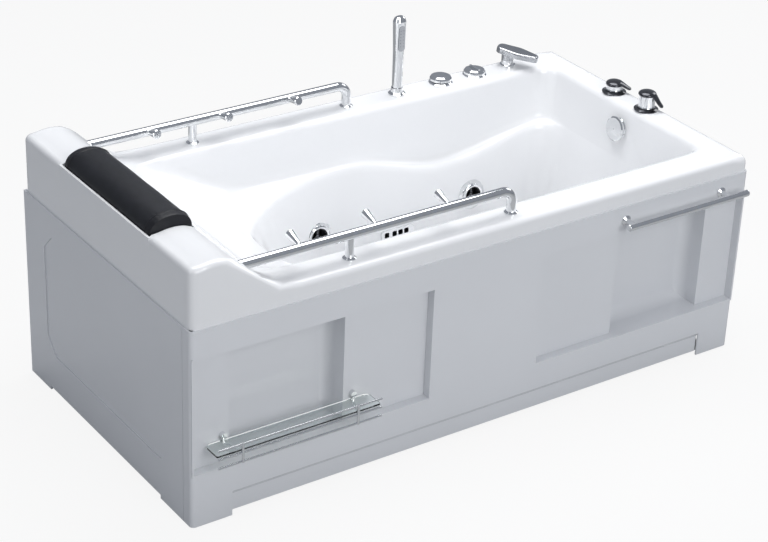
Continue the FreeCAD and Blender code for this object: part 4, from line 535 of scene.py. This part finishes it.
FAN_HEAD_X, FAN_FOOT_X = 0.05, 0.52   # middles of the two fans of columns
FAN_HEAD_STEP, FAN_FOOT_STEP = 2.4, 3.0
CORNER_STEP, CORNER_SPREAD = 0.45, 2.6
STRAIGHT_COLUMNS = 26
REACH_MOST, REACH_HALVINGS = 2.0, 34  # longest distance, and how often it is halved
EDGE_STEPS, DECK_STEPS, LIP_STEPS, WALL_STEPS, BEND_STEPS, ROLL_STEPS = 7, 22, 6, 9, 6, 6

TRAY_Z = 0.668                # floor of the cushion's tray
TRAY_GAP = 0.0025             # room round the cushion
TRAY_WALL, TRAY_UNDER, TRAY_OVER = 0.006, -0.003, 0.05
TRAY_POINTS = 18
JET_NODES = ("jet_rotor_back_head", "jet_rotor_back_foot", "jet_rotor_front_head", "jet_rotor_front_foot")
JET_HOLE, OVERFLOW_HOLE, DRAIN_HOLE = 0.038, 0.026, 0.030
WINDOW_MARGIN = 0.008         # the suction cover's window is this much smaller than the cover
DRILL_LENGTH = 0.070


class Outline(NamedTuple):
    """Rounded outline: its four sides, then its head and foot corners as (along, across) radii."""
    x0: float
    x1: float
    y0: float
    y1: float
    head: tuple
    foot: tuple

    def holds(self, x, y):
        if not (self.x0 <= x <= self.x1 and self.y0 <= y <= self.y1):
            return False
        half, off = (self.y1 - self.y0) / 2, abs(y - (self.y0 + self.y1) / 2)
        past_head, past_foot = self.x0 + self.head[0] - x, x - (self.x1 - self.foot[0])
        for along, radii in ((past_head, self.head), (past_foot, self.foot)):
            across = off - (half - radii[1])
            if along > 0 and across > 0 and (along / radii[0]) ** 2 + (across / radii[1]) ** 2 > 1:
                return False
        return True

    def reach(self, origin, way):
        """Distance from a column's origin to the outline, by halving."""
        low, high = 0.0, REACH_MOST
        for _ in range(REACH_HALVINGS):
            middle = (low + high) / 2
            if self.holds(origin[0] + way[0] * middle, origin[1] + way[1] * middle):
                low = middle
            else:
                high = middle
        return low


def from_head(x):
    return x - HEAD_X


def slope_height(x):
    """Height of the head wall's measured line, by Catmull-Rom through its points."""
    d = from_head(x)
    line = SLOPE_LINE
    if d <= 0:
        return line[0][1]
    for i in range(len(line) - 1):
        if d <= line[i + 1][0]:
            p0 = line[max(i - 1, 0)][1]
            p1, p2 = line[i][1], line[i + 1][1]
            p3 = line[min(i + 2, len(line) - 1)][1]
            t = (d - line[i][0]) / (line[i + 1][0] - line[i][0])
            return 0.5 * (2 * p1 + (p2 - p0) * t + (2 * p0 - 5 * p1 + 4 * p2 - p3) * t * t
                          + (3 * p1 - p0 - 3 * p2 + p3) * t ** 3)
    return line[-1][1] - SLOPE_END_FALL * (d - line[-1][0])


def deck_height(x, headness):
    """Height of deck and slope; the side decks meet the slope in a soft bend."""
    deck = sizes().rim_z
    gap = slope_height(x) - deck
    soft = DECK_BLEND * (1 - headness) + LEAST_BLEND
    return deck + 0.5 * (gap + math.sqrt(gap * gap + soft * soft))


def outer_outline(inset):
    x0, x1 = HEAD_X + SHELL_BACK + inset, FOOT_X - inset
    y0, y1 = FRONT_Y + SHELL_BACK + inset, BACK_Y - inset
    head, foot = max(CORNER_HEAD - inset, LEAST_CORNER), max(CORNER_FOOT - inset, LEAST_CORNER)
    return Outline(x0, x1, y0, y1, (head, head), (foot, foot))


def upper_outline(z):
    """Basin's wall over the armrests."""
    size = sizes()
    share = (size.rim_z - z) / (size.rim_z - ARM_Z)
    lean = UPPER_LEAN * share
    head_x = HEAD_X + SLOPE_FOOT + (ARM_HEAD - SLOPE_FOOT) * share
    side = size.deck_side + lean
    r_head = UPPER_R_HEAD + UPPER_R_HEAD_GROWTH * max(share, 0)
    return Outline(head_x, FOOT_X - size.deck_foot - lean, FRONT_Y + side, BACK_Y - side,
                   (r_head, r_head), (UPPER_R_FOOT, UPPER_R_FOOT))


def lower_outline(z):
    """Bowl's wall under the armrests."""
    size = sizes()
    share = (ARM_Z - z) / (ARM_Z - size.floor_z - ROLL)
    side = size.deck_side + UPPER_LEAN + ARM_LEDGE + LOWER_LEAN_SIDE * share
    foot = size.deck_foot + UPPER_LEAN + LOWER_LEAN_FOOT * share
    half = (BACK_Y - FRONT_Y) / 2 - side
    head_x = HEAD_X + ARM_HEAD + (FLOOR_HEAD - ARM_HEAD) * share
    long = BOWL_HEAD_LONG + (FLOOR_HEAD_LONG - BOWL_HEAD_LONG) * share
    return Outline(head_x, FOOT_X - foot, FRONT_Y + side, BACK_Y - side,
                   (long, half - BOWL_HEAD_SPARE), (BOWL_R_FOOT, BOWL_R_FOOT))


def arm_height(x):
    """Height of the armrest, which dips beside the hips."""
    high, low, foot = ARM_PLACES
    d = from_head(x)
    if d < low:
        return between(ARM_Z, ARM_LOW_Z, ease((d - high) / (low - high)))
    return between(ARM_LOW_Z, ARM_FOOT_Z, ease((d - low) / (foot - low)))


def fan(corner, step):
    """Angles from the cross line to the middle, closer together at the outer corner."""
    angles, angle = [], math.pi / 2
    while angle > 1e-6:
        angles.append(angle)
        at_corner = abs(angle - corner) < math.radians(CORNER_SPREAD)
        angle -= math.radians(CORNER_STEP if at_corner else step)
    return angles


def column_ways():
    """Each column's origin and direction: a fan round the head, square to the sides, a fan round the foot."""
    rise = BACK_Y - MID_Y
    head = fan(math.atan2(rise, abs(HEAD_X + SHELL_BACK - FAN_HEAD_X)), FAN_HEAD_STEP)
    foot = fan(math.atan2(rise, abs(FOOT_X - FAN_FOOT_X)), FAN_FOOT_STEP)

    def around(fan_x, angles, sign_x, sign_y):
        return [((fan_x, MID_Y), (sign_x * math.cos(a), sign_y * math.sin(a))) for a in angles]

    straight = [FAN_HEAD_X + (FAN_FOOT_X - FAN_HEAD_X) * i / STRAIGHT_COLUMNS
                for i in range(1, STRAIGHT_COLUMNS)]
    ways = around(FAN_HEAD_X, head, -1, 1)
    ways += [((FAN_HEAD_X, MID_Y), (-1.0, 0.0))]
    ways += reversed(around(FAN_HEAD_X, head, -1, -1))
    ways += [((x, MID_Y), (0.0, -1.0)) for x in straight]
    ways += around(FAN_FOOT_X, foot, 1, -1)
    ways += [((FAN_FOOT_X, MID_Y), (1.0, 0.0))]
    ways += reversed(around(FAN_FOOT_X, foot, 1, 1))
    ways += [((x, MID_Y), (0.0, 1.0)) for x in reversed(straight)]
    return ways


def curve_steps(first, bend, last):
    """Points of a quadratic bend in (distance, height), its first left out."""
    points = []
    for i in range(1, BEND_STEPS + 1):
        t = i / BEND_STEPS
        points.append(tuple((1 - t) ** 2 * a + 2 * t * (1 - t) * b + t * t * c
                            for a, b, c in zip(first, bend, last)))
    return points


def column(origin, way):
    """One section of the tub, from the fascia's lower edge to the floor, as points in space."""
    size = sizes()

    def at(distance):
        return origin[0] + way[0] * distance, origin[1] + way[1] * distance

    mouth = upper_outline(size.rim_z).reach(origin, way)
    headness = 1 - ease((at(mouth)[0] - (HEAD_X + SLOPE_FOOT)) / HEAD_FADE)
    section = rim_part(origin, way, at, mouth, headness)
    section += basin_part(origin, way, at, section[-1][1])
    return [(*at(distance), z) for distance, z in section]


def rim_part(origin, way, at, mouth, headness):
    """A column's section over the fascia, the deck's rounded edge, the deck and the lip of the basin."""
    size = sizes()
    outer = outer_outline(0).reach(origin, way)
    outer_x = at(outer)[0]
    edge = EDGE_SIDE
    if way[0] > FOOTWARD:
        edge = between(EDGE_SIDE, EDGE_FOOT, ease((outer_x - FOOT_X + EDGE_FADE_FROM) / EDGE_FADE))
    section = [(outer, size.fascia_z + rise) for rise in FASCIA_STEPS]
    top = deck_height(outer_x, headness)
    spare = FASCIA_SPARE if top - edge > size.fascia_z + LOW_FASCIA else LOW_FASCIA_SPARE
    low_z, high_z = size.fascia_z + FASCIA_STEPS[-1], top - edge - spare
    for i in range(1, FASCIA_POINTS):
        section.append((outer, between(low_z, high_z, i / FASCIA_POINTS)))
    for turn in quarter(EDGE_STEPS, 0):
        distance = outer_outline(edge * (1 - math.cos(turn))).reach(origin, way)
        top = deck_height(at(distance)[0], headness)
        section.append((distance, top - edge * (1 - math.sin(turn))))
    lip = LIP_R * (1 - headness) + LEAST_LIP
    start, stop = section[-1][0], mouth + lip
    for i in range(1, DECK_STEPS + 1):
        distance = between(start, stop, i / DECK_STEPS)
        section.append((distance, deck_height(at(distance)[0], headness)))
    top = section[-1][1]
    for turn in quarter(LIP_STEPS):
        z = top - lip * (1 - math.cos(turn))
        section.append((upper_outline(z).reach(origin, way) + lip * (1 - math.sin(turn)), z))
    return section


def basin_part(origin, way, at, top):
    """The rest of a column's section: upper wall, armrest, bowl, roll and floor."""
    size = sizes()
    roll_z = size.floor_z + ROLL
    arm_x = at(upper_outline(ARM_Z).reach(origin, way))[0]
    arm = arm_height(arm_x)
    sides = abs(way[1]) ** 4
    off_middle = min(1, abs(from_head(arm_x) - (ARM_PLACES[1] + SCOOP_PAST_LOW)) / SCOOP_HALF)
    hollow = SCOOP * sides * max(0.0, math.cos(off_middle * math.pi / 2)) ** 1.5
    scoop_z = size.rim_z - SCOOP_FROM

    def upper(z):
        share = ease((scoop_z - z) / (scoop_z - arm))
        return upper_outline(max(z, ARM_Z - UPPER_PAST_ARM)).reach(origin, way) + hollow * share

    def lower(z):
        return lower_outline(z).reach(origin, way)

    section = []
    for i in range(1, WALL_STEPS + 1):
        z = between(top, arm + ARM_TURN, i / WALL_STEPS)
        section.append((upper(z), z))
    wall = upper(arm)
    bowl = min(lower(arm), wall)
    ledge = ((wall + bowl) / 2, arm - ARM_FALL)
    section += curve_steps(section[-1], (wall, arm), ledge)
    low_z = arm - BOWL_TURN
    section += curve_steps(ledge, (bowl, arm - BOWL_FALL), (min(lower(low_z), wall), low_z))
    for i in range(1, WALL_STEPS + 1):
        z = between(low_z, roll_z, i / WALL_STEPS)
        section.append((lower(z), z))
    wall = section[-1][0]
    for turn in quarter(ROLL_STEPS):
        section.append((wall - ROLL * (1 - math.cos(turn)), roll_z - ROLL * math.sin(turn)))
    for share in FLOOR_SHARES:
        section.append(((wall - ROLL) * share, size.floor_z))
    return section


class TUB_OT_surface(bpy.types.Operator):
    """Builds the tub's skin: deck, head wall, armrests, bowl and floor in one laminate"""
    bl_idname = "tub.surface"
    bl_label = "Tub surface"

    def execute(self, context):
        columns = [column(*way) for way in column_ways()]
        count, depth = len(columns), len(columns[0])
        points = [point for section in columns for point in section]
        faces = []
        for i in range(count):
            j = (i + 1) % count
            for k in range(depth - 1):
                faces.append((i * depth + k, i * depth + k + 1, j * depth + k + 1, j * depth + k))
        faces.append([i * depth + depth - 1 for i in range(count)])
        piece = mesh_piece("tub_surface", points, faces)
        add_modifier(piece, "SOLIDIFY", thickness=sizes().wall, offset=-1)
        apply_modifiers(piece)
        combine(piece, self.slope_block(TRAY_GAP + TRAY_WALL, TRAY_Z - TRAY_WALL, TRAY_UNDER), "UNION")
        combine(piece, self.slope_block(TRAY_GAP, TRAY_Z, TRAY_OVER), "DIFFERENCE")
        combine(piece, self.fitting_tools(), "DIFFERENCE")
        smooth(piece, 32)
        dress(piece, "acrylic", "tub", "tub_shell")
        return {"FINISHED"}

    def slope_block(self, margin, bottom, over):
        """Block round the cushion whose top follows the slope at a distance over or under it."""
        low_x, high_x = PILLOW_LOW.x - margin, PILLOW_HIGH.x + margin
        line = [between(low_x, high_x, i / TRAY_POINTS) for i in range(TRAY_POINTS + 1)]
        profile = [(x, slope_height(x) + over) for x in line] + [(high_x, bottom), (low_x, bottom)]
        points = [(x, y, z) for y in (PILLOW_LOW.y - margin, PILLOW_HIGH.y + margin) for x, z in profile]
        return mesh_piece("tray_tool", points, tube_faces(2, len(profile)))

    def fitting_tools(self):
        """Drills behind the jets, the overflow and the drain, joined to the suction cover's window."""
        drills = [self.drill(middle_of(node), JET_HOLE, (math.pi / 2, 0, 0)) for node in JET_NODES]
        drills.append(self.drill(middle_of("overflow_ring"), OVERFLOW_HOLE, (0, math.pi / 2, 0)))
        drills.append(self.drill(middle_of("drain_flange", sizes().floor_z), DRAIN_HOLE, (0, 0, 0)))
        low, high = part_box("suction_cover")
        deselect()
        bpy.ops.mesh.primitive_cube_add(size=1, location=(low + high) / 2)
        window = named_active("suction_window")
        window.dimensions = (high.x - low.x - WINDOW_MARGIN, DRILL_LENGTH, high.z - low.z - WINDOW_MARGIN)
        place_in_mesh(window)
        for tool in drills:
            tool.select_set(True)
        bpy.ops.object.join()
        return window

    def drill(self, at, radius, turn):
        deselect()
        bpy.ops.mesh.primitive_cylinder_add(
            vertices=48, radius=radius, depth=DRILL_LENGTH, location=at, rotation=turn)
        tool = named_active("drill")
        place_in_mesh(tool)
        return tool


# ---------------------------------------------------------------- head cushion
CUSHION_SEAM = 0.024          # seam's bead, from each end
CUSHION_CAP = 0.026           # length of the rounded end
CUSHION_BEAD, CUSHION_BEAD_HALF = 0.0022, 0.0016
CUSHION_PUCKER, CUSHION_PUCKER_REACH = 0.0007, 0.009
CUSHION_SMOOTH = 0.002        # no puckers this close to the bead's middle
CUSHION_SAG = 0.0006
CUSHION_END_SCALE = 0.91
CUSHION_WAIST = 0.30          # height share where the round back starts
CUSHION_SEAT = ((0.90, 0.0), (0.965, 0.35), (0.995, 0.72))   # shares of the half width and of the waist
CUSHION_ACROSS, CUSHION_UP = 0.92, 0.86                      # a circle's is 1
CUSHION_ARC = 44
CUSHION_CORE = 0.012          # height that the skin swells from
CUSHION_END = ((0.0, 0.05), (0.0003, 0.30), (0.0010, 0.55), (0.0022, 0.72))   # (from the end, scale)
CUSHION_FINE = [0.004 + 0.001 * i for i in range(34)]        # close rings over the cap and the seam
CUSHION_WIDE, CUSHION_WIDE_GAP = 16, 0.006                   # rings over the plain middle
PUCKER_WAVES, PUCKER_DRIFT, PUCKER_DRIFT_WAVES = 61, 2.1, 17
SAG_LONG_WAVES, SAG_ROUND_WAVES = 31, 4


def cushion_outline(scale):
    """Half-round section as (across, up) from the head-side seat over the crown, about the seat's middle."""
    half = (PILLOW_HIGH.x - PILLOW_LOW.x) / 2 * scale
    top = (PILLOW_HIGH.z - PILLOW_LOW.z) * scale
    waist = top * CUSHION_WAIST
    seat = [(half * across, waist * up) for across, up in CUSHION_SEAT]
    arc = []
    for i in range(CUSHION_ARC + 1):
        turn = math.pi * (1 - i / CUSHION_ARC)
        across = math.copysign(abs(math.cos(turn)) ** CUSHION_ACROSS, math.cos(turn))
        arc.append((half * across, waist + (top - waist) * math.sin(turn) ** CUSHION_UP))
    return [(-across, up) for across, up in seat] + arc + seat[::-1]


def cushion_swell(d, share):
    """Outward offset of the skin: the seam's bead, and small puckers drawn in along it."""
    off = d - CUSHION_SEAM
    bead = CUSHION_BEAD * math.exp(-(off / CUSHION_BEAD_HALF) ** 2)
    pucker = (CUSHION_PUCKER * math.exp(-abs(off) / CUSHION_PUCKER_REACH)
              * math.sin(share * PUCKER_WAVES + PUCKER_DRIFT * math.sin(share * PUCKER_DRIFT_WAVES)))
    sag = CUSHION_SAG * math.sin(d * SAG_LONG_WAVES + share * SAG_ROUND_WAVES) * math.sin(share * math.pi)
    return bead + (pucker if abs(off) > CUSHION_SMOOTH else 0) + sag


def cushion_scale(d):
    """The ends draw in over a short length."""
    t = max(0.0, 1 - d / CUSHION_CAP)
    return between(CUSHION_END_SCALE, 1.0, math.sqrt(1 - t * t))


class TUB_OT_cushion(bpy.types.Operator):
    """Builds the half-round head cushion with a beaded seam near each end"""
    bl_idname = "tub.cushion"
    bl_label = "Head cushion"

    def execute(self, context):
        half_length = (PILLOW_HIGH.y - PILLOW_LOW.y) / 2
        wide_from = CUSHION_FINE[-1] + CUSHION_WIDE_GAP
        rings = list(CUSHION_END) + [(d, cushion_scale(d)) for d in CUSHION_FINE]
        rings += [(between(wide_from, half_length, i / CUSHION_WIDE), 1.0) for i in range(CUSHION_WIDE + 1)]
        both = [(PILLOW_LOW.y + d, d, scale) for d, scale in rings]
        both += [(PILLOW_HIGH.y - d, d, scale) for d, scale in reversed(rings[:-1])]
        points = []
        for y, d, scale in both:
            points += self.ring(y, d, scale)
        piece = mesh_piece("head_cushion", points, tube_faces(len(both), len(points) // len(both)))
        smooth(piece, 50)
        dress(piece, "pillow", "tub", "head_pillow")
        return {"FINISHED"}

    def ring(self, y, d, scale):
        """The cushion's section at a distance from its end, as points in space."""
        middle_x = (PILLOW_LOW.x + PILLOW_HIGH.x) / 2
        outline = cushion_outline(scale)
        points = []
        for i, (across, up) in enumerate(outline):
            out = Vector((across, 0, up - CUSHION_CORE))
            swell = cushion_swell(d, i / (len(outline) - 1)) if up > 0 else 0
            out = out + out.normalized() * swell
            points.append((middle_x + out.x, y, PILLOW_LOW.z + max(out.z + CUSHION_CORE, 0)))
        return points


# ---------------------------------------------------------------- handles on the foot deck
TAP_X = 0.804
TAP_BASE_TOP = 0.0073         # underside of a handle, over the deck
TAP_DRUM_R, TAP_BORE_R = 0.024, 0.006
DRUM_FOOT_LINE = ((-0.002, 0.0), (0.0, 0.001), (0.0004, 0.002), (0.0, 0.003), (-0.0012, 0.0045))
DRUM_TOP_LINE = ((-0.0014, -0.004), (-0.0006, -0.002), (-0.0006, -0.0006))   # (out, up) from the edges
TAP_CAP_OVERHANG = 0.001
TAP_CAP_RIM = 0.0036          # top of the cap's rolled rim, over the drum
TAP_DOME_H = 0.009
TAP_AXIS_R = 0.0005           # the turned pieces close at this radius
DOME_STEPS = 8
LEVER_REACH = 0.052
LEVER_ROOT = -0.008           # the blade starts inside the cap
LEVER_RINGS, LEVER_SIDES = 26, 20
LEVER_WIDE, LEVER_THICK = (0.0205, 0.0095), (0.0060, 0.0036)   # half sizes, at the cap and at the tip
LEVER_ROUND, LEVER_ROUND_LONG = 0.88, 0.125   # start and length of the tip's rounding, as shares
LEVER_LEAST_END = 0.02
LEVER_OVER_CAP, LEVER_OVER_DECK = 0.006, 0.0065
LEVER_FALL_FROM, LEVER_FALL_SPARE = 0.010, 0.012
LEVER_TIP_SPARE = 0.004
LEVER_SLOPE_STEP = 0.0005
REMESH_SIZE = 0.0009
HANDLES = (                   # (body, node, across the tub, drum's height, lever's turn in degrees)
    ("mixer", "mixer_handle", -0.0285, 0.036, -57.0),
    ("diverter", "diverter_handle", 0.1095, 0.015, -50.0))


def lever_height(out, low, top):
    """The lever leaves the cap level, then falls in an S to the deck."""
    fall = ease((out - LEVER_FALL_FROM) / (LEVER_REACH - LEVER_FALL_SPARE))
    return between(top + LEVER_OVER_CAP, low + LEVER_OVER_DECK, fall)


def lever_blade(at, low, top, turn):
    """Broad blade from the cap's middle down to its tip, narrowing as it falls."""
    cos_turn, sin_turn = math.cos(turn), math.sin(turn)
    points = []
    for i in range(LEVER_RINGS + 1):
        share = i / LEVER_RINGS
        out = between(LEVER_ROOT, LEVER_REACH - LEVER_TIP_SPARE, share)
        z = lever_height(out, low, top)
        step = LEVER_SLOPE_STEP
        slope = (lever_height(out + step, low, top) - lever_height(out - step, low, top)) / (2 * step)
        length = math.hypot(1, slope)
        up = Vector((-slope / length, 0, 1 / length))
        past = max(0.0, (share - LEVER_ROUND) / LEVER_ROUND_LONG)
        end = math.sqrt(max(LEVER_LEAST_END, 1 - past ** 2))
        wide = between(*LEVER_WIDE, ease(share)) * end
        thick = between(*LEVER_THICK, share) * end
        for k in range(LEVER_SIDES):
            angle = 2 * math.pi * k / LEVER_SIDES
            local = Vector((out, 0, z)) + up * (thick * math.sin(angle))
            local += Vector((0, wide * math.cos(angle), 0))
            points.append((at[0] + local.x * cos_turn - local.y * sin_turn,
                           at[1] + local.x * sin_turn + local.y * cos_turn, at[2] + local.z))
    return mesh_piece("blade", points, tube_faces(LEVER_RINGS + 1, LEVER_SIDES))


class TUB_OT_handles(bpy.types.Operator):
    """Builds both foot-deck handles: a plated drum under a dark cap that runs into its lever"""
    bl_idname = "tub.handles"
    bl_label = "Foot-deck handles"

    def execute(self, context):
        for body, node, y, height, turn in HANDLES:
            at = (TAP_X, y, sizes().rim_z)
            low, top = TAP_BASE_TOP, TAP_BASE_TOP + height
            self.drum(body, node, at, low, top)
            self.cap(body, node, at, low, top, math.radians(turn))
        return {"FINISHED"}

    def drum(self, body, node, at, low, top):
        """Drum with a bead at its foot and a shallow groove under the cap."""
        r = TAP_DRUM_R
        profile = [(TAP_BORE_R, low)] + [(r + out, low + up) for out, up in DRUM_FOOT_LINE]
        profile += [(r + out, top + up) for out, up in DRUM_TOP_LINE] + [(TAP_BORE_R, top)]
        piece = lathe(body + "_drum", profile, at)
        smooth(piece, 35)
        dress(piece, "chrome", body, node)

    def cap(self, body, node, at, low, top, turn):
        """Dome with a rolled rim, run together with its lever and rounded."""
        r = TAP_DRUM_R + TAP_CAP_OVERHANG
        rim = top + TAP_CAP_RIM
        dome = [(TAP_AXIS_R, top + 0.0004), (r, top + 0.0004), (r + 0.0006, top + 0.0018), (r, rim)]
        for angle in quarter(DOME_STEPS):
            dome.append((max(r * math.cos(angle), TAP_AXIS_R), rim + TAP_DOME_H * math.sin(angle)))
        piece = lathe(body + "_cap", dome, at)
        combine(piece, lever_blade(at, low, top, turn), "UNION")
        add_modifier(piece, "REMESH", mode="VOXEL", voxel_size=REMESH_SIZE)
        add_modifier(piece, "SMOOTH", factor=0.6, iterations=9)
        apply_modifiers(piece)
        smooth(piece, 80)
        dress(piece, "dark_gloss", body, node)


# ---------------------------------------------------------------- stage
CAMERA_AT = (-2.9185, -4.0648, 2.9674)
CAMERA_RIGHT = (0.825876, -0.562663, 0.036591)
CAMERA_UP = (0.240042, 0.409569, 0.880132)
CAMERA_VIEW = (0.510204, 0.718097, -0.473316)
CAMERA_SENSOR = 36.0
CAMERA_LENS = 100.66
CAMERA_SHIFT_X = -0.0033
CAMERA_CLIP = (0.1, 60.0)

FLOOR_SIZE, FLOOR_Z = 40, -0.0005
FLOOR_TONES = ((0.3, (0.44, 0.445, 0.45)), (0.7, (0.46, 0.465, 0.47)))
FLOOR_GLOW, FLOOR_GLOW_SHARE = 1.04, 0.86     # white that the camera sees; the rest shows the shadow
WORLD_TINT, WORLD_STRENGTH = (0.62, 0.66, 0.74, 1), 0.46
WHITE = (1, 1, 1, 1)
LAMPS = (                     # (name, place, aim, diameter, power)
    ("overhead", (0.45, 0.45, 3.2), (0.2, 0.0, 0.5), 2.6, 74),
    ("front", (-0.2, -4.6, 2.6), (0.1, 0.0, 0.5), 2.6, 86),
    ("head_side", (-4.8, -0.4, 2.0), (-0.6, 0.0, 0.4), 2.2, 22),
    ("foot_side", (4.2, 0.6, 2.6), (0.4, 0.0, 0.5), 2.0, 30))


class TUB_OT_stage(bpy.types.Operator):
    """Adds the camera, the pale floor and the soft lamps"""
    bl_idname = "tub.stage"
    bl_label = "Stage"

    def execute(self, context):
        self.camera()
        self.floor()
        self.world()
        self.lamps()
        context.scene.view_settings.view_transform = "Standard"
        return {"FINISHED"}

    def camera(self):
        camera = bpy.data.cameras.new("photo_camera")
        camera.lens = CAMERA_LENS
        camera.sensor_width = CAMERA_SENSOR
        camera.shift_x = CAMERA_SHIFT_X
        camera.clip_start, camera.clip_end = CAMERA_CLIP
        holder = bpy.data.objects.new("photo_camera", camera)
        axes = (CAMERA_RIGHT, CAMERA_UP, tuple(-c for c in CAMERA_VIEW))
        holder.matrix_world = Matrix([
            (*(axis[row] for axis in axes), CAMERA_AT[row]) for row in range(3)] + [(0, 0, 0, 1)])
        bpy.context.scene.collection.objects.link(holder)
        bpy.context.scene.camera = holder

    def floor(self):
        """Floor that the camera sees nearly white, with the object's shadow on it."""
        deselect()
        bpy.ops.mesh.primitive_plane_add(size=FLOOR_SIZE, location=(0, 0, FLOOR_Z))
        floor = named_active("pale_floor")
        place_in_mesh(floor)
        finish = Finish("pale_floor", Roughness=0.9)
        finish.feed("Base Color", finish.ramp(finish.noise(0.8), *FLOOR_TONES))
        glow = finish.node("ShaderNodeEmission", {}, {"Color": WHITE, "Strength": FLOOR_GLOW})
        lit = Signal(finish, finish.shader.outputs[0])
        share = FLOOR_GLOW_SHARE * finish.background_share()
        mixed = finish.node("ShaderNodeMixShader", {}, {0: share, 1: lit, 2: glow})
        finish.tree.links.new(mixed.socket, finish.output.inputs["Surface"])
        floor.data.materials.append(finish.material)

    def world(self):
        """Dim cool light all round, which the camera sees as white."""
        world = bpy.data.worlds.new("studio")
        world.use_nodes = True
        bpy.context.scene.world = world
        maker = NodeMaker(world.node_tree)
        back = maker.tree.nodes["Background"]
        back.inputs["Color"].default_value = WORLD_TINT
        back.inputs["Strength"].default_value = WORLD_STRENGTH
        white = maker.node("ShaderNodeBackground", {}, {"Color": WHITE})
        mixed = maker.node("ShaderNodeMixShader", {}, {
            0: maker.background_share(), 1: Signal(maker, back.outputs[0]), 2: white})
        maker.tree.links.new(mixed.socket, maker.tree.nodes["World Output"].inputs["Surface"])

    def lamps(self):
        for name, place, aim, size, power in LAMPS:
            lamp = bpy.data.lights.new(name, "AREA")
            lamp.shape = "DISK"
            lamp.size = size
            lamp.energy = power
            holder = bpy.data.objects.new(name, lamp)
            holder.location = place
            holder.rotation_euler = (Vector(aim) - Vector(place)).to_track_quat("-Z", "Y").to_euler()
            bpy.context.scene.collection.objects.link(holder)


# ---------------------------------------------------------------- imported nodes' finishes
NODE_SLOTS = {part["node"]: part["material_slot"] for part in frame["record"]["subparts"]}
OTHER_FINISHES = {"spout": "satin_grey", "shower_spray_face": "satin_grey"}   # unlike their slots


class TUB_OT_finishes(bpy.types.Operator):
    """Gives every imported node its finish"""
    bl_idname = "tub.finishes"
    bl_label = "Finishes"

    def execute(self, context):
        for name, node in frame["nodes"].items():
            finish = finish_named(OTHER_FINISHES.get(name, NODE_SLOTS[name]))
            if not node.material_slots:
                node.data.materials.append(finish)
            for slot in node.material_slots:
                slot.material = finish
        return {"FINISHED"}


class TUB_PT_panel(bpy.types.Panel):
    """Lists the steps in the order that builds the tub"""
    bl_idname = "TUB_PT_panel"
    bl_label = "Jetted bathtub"
    bl_space_type = "VIEW_3D"
    bl_region_type = "UI"
    bl_category = "Bathtub"

    def draw(self, context):
        for group in (context.scene.tub_sizes, context.scene.tub_colours):
            for key in group.bl_rna.properties.keys():
                if key not in ("rna_type", "name"):
                    self.layout.prop(group, key)
        for step in STEPS:
            self.layout.operator(step.bl_idname)


STEPS = (TUB_OT_stage, TUB_OT_finishes, TUB_OT_surface, TUB_OT_cushion, TUB_OT_handles)
CLASSES = (TubSizes, TubColours) + STEPS + (TUB_PT_panel,)


def register():
    for cls in CLASSES:
        bpy.utils.register_class(cls)
    bpy.types.Scene.tub_sizes = bpy.props.PointerProperty(type=TubSizes)
    bpy.types.Scene.tub_colours = bpy.props.PointerProperty(type=TubColours)


def unregister():
    del bpy.types.Scene.tub_colours
    del bpy.types.Scene.tub_sizes
    for cls in reversed(CLASSES):
        bpy.utils.unregister_class(cls)


def main():
    register()
    for step in STEPS:
        family, action = step.bl_idname.split(".")
        getattr(getattr(bpy.ops, family), action)()


if __name__ == "__main__":
    main()
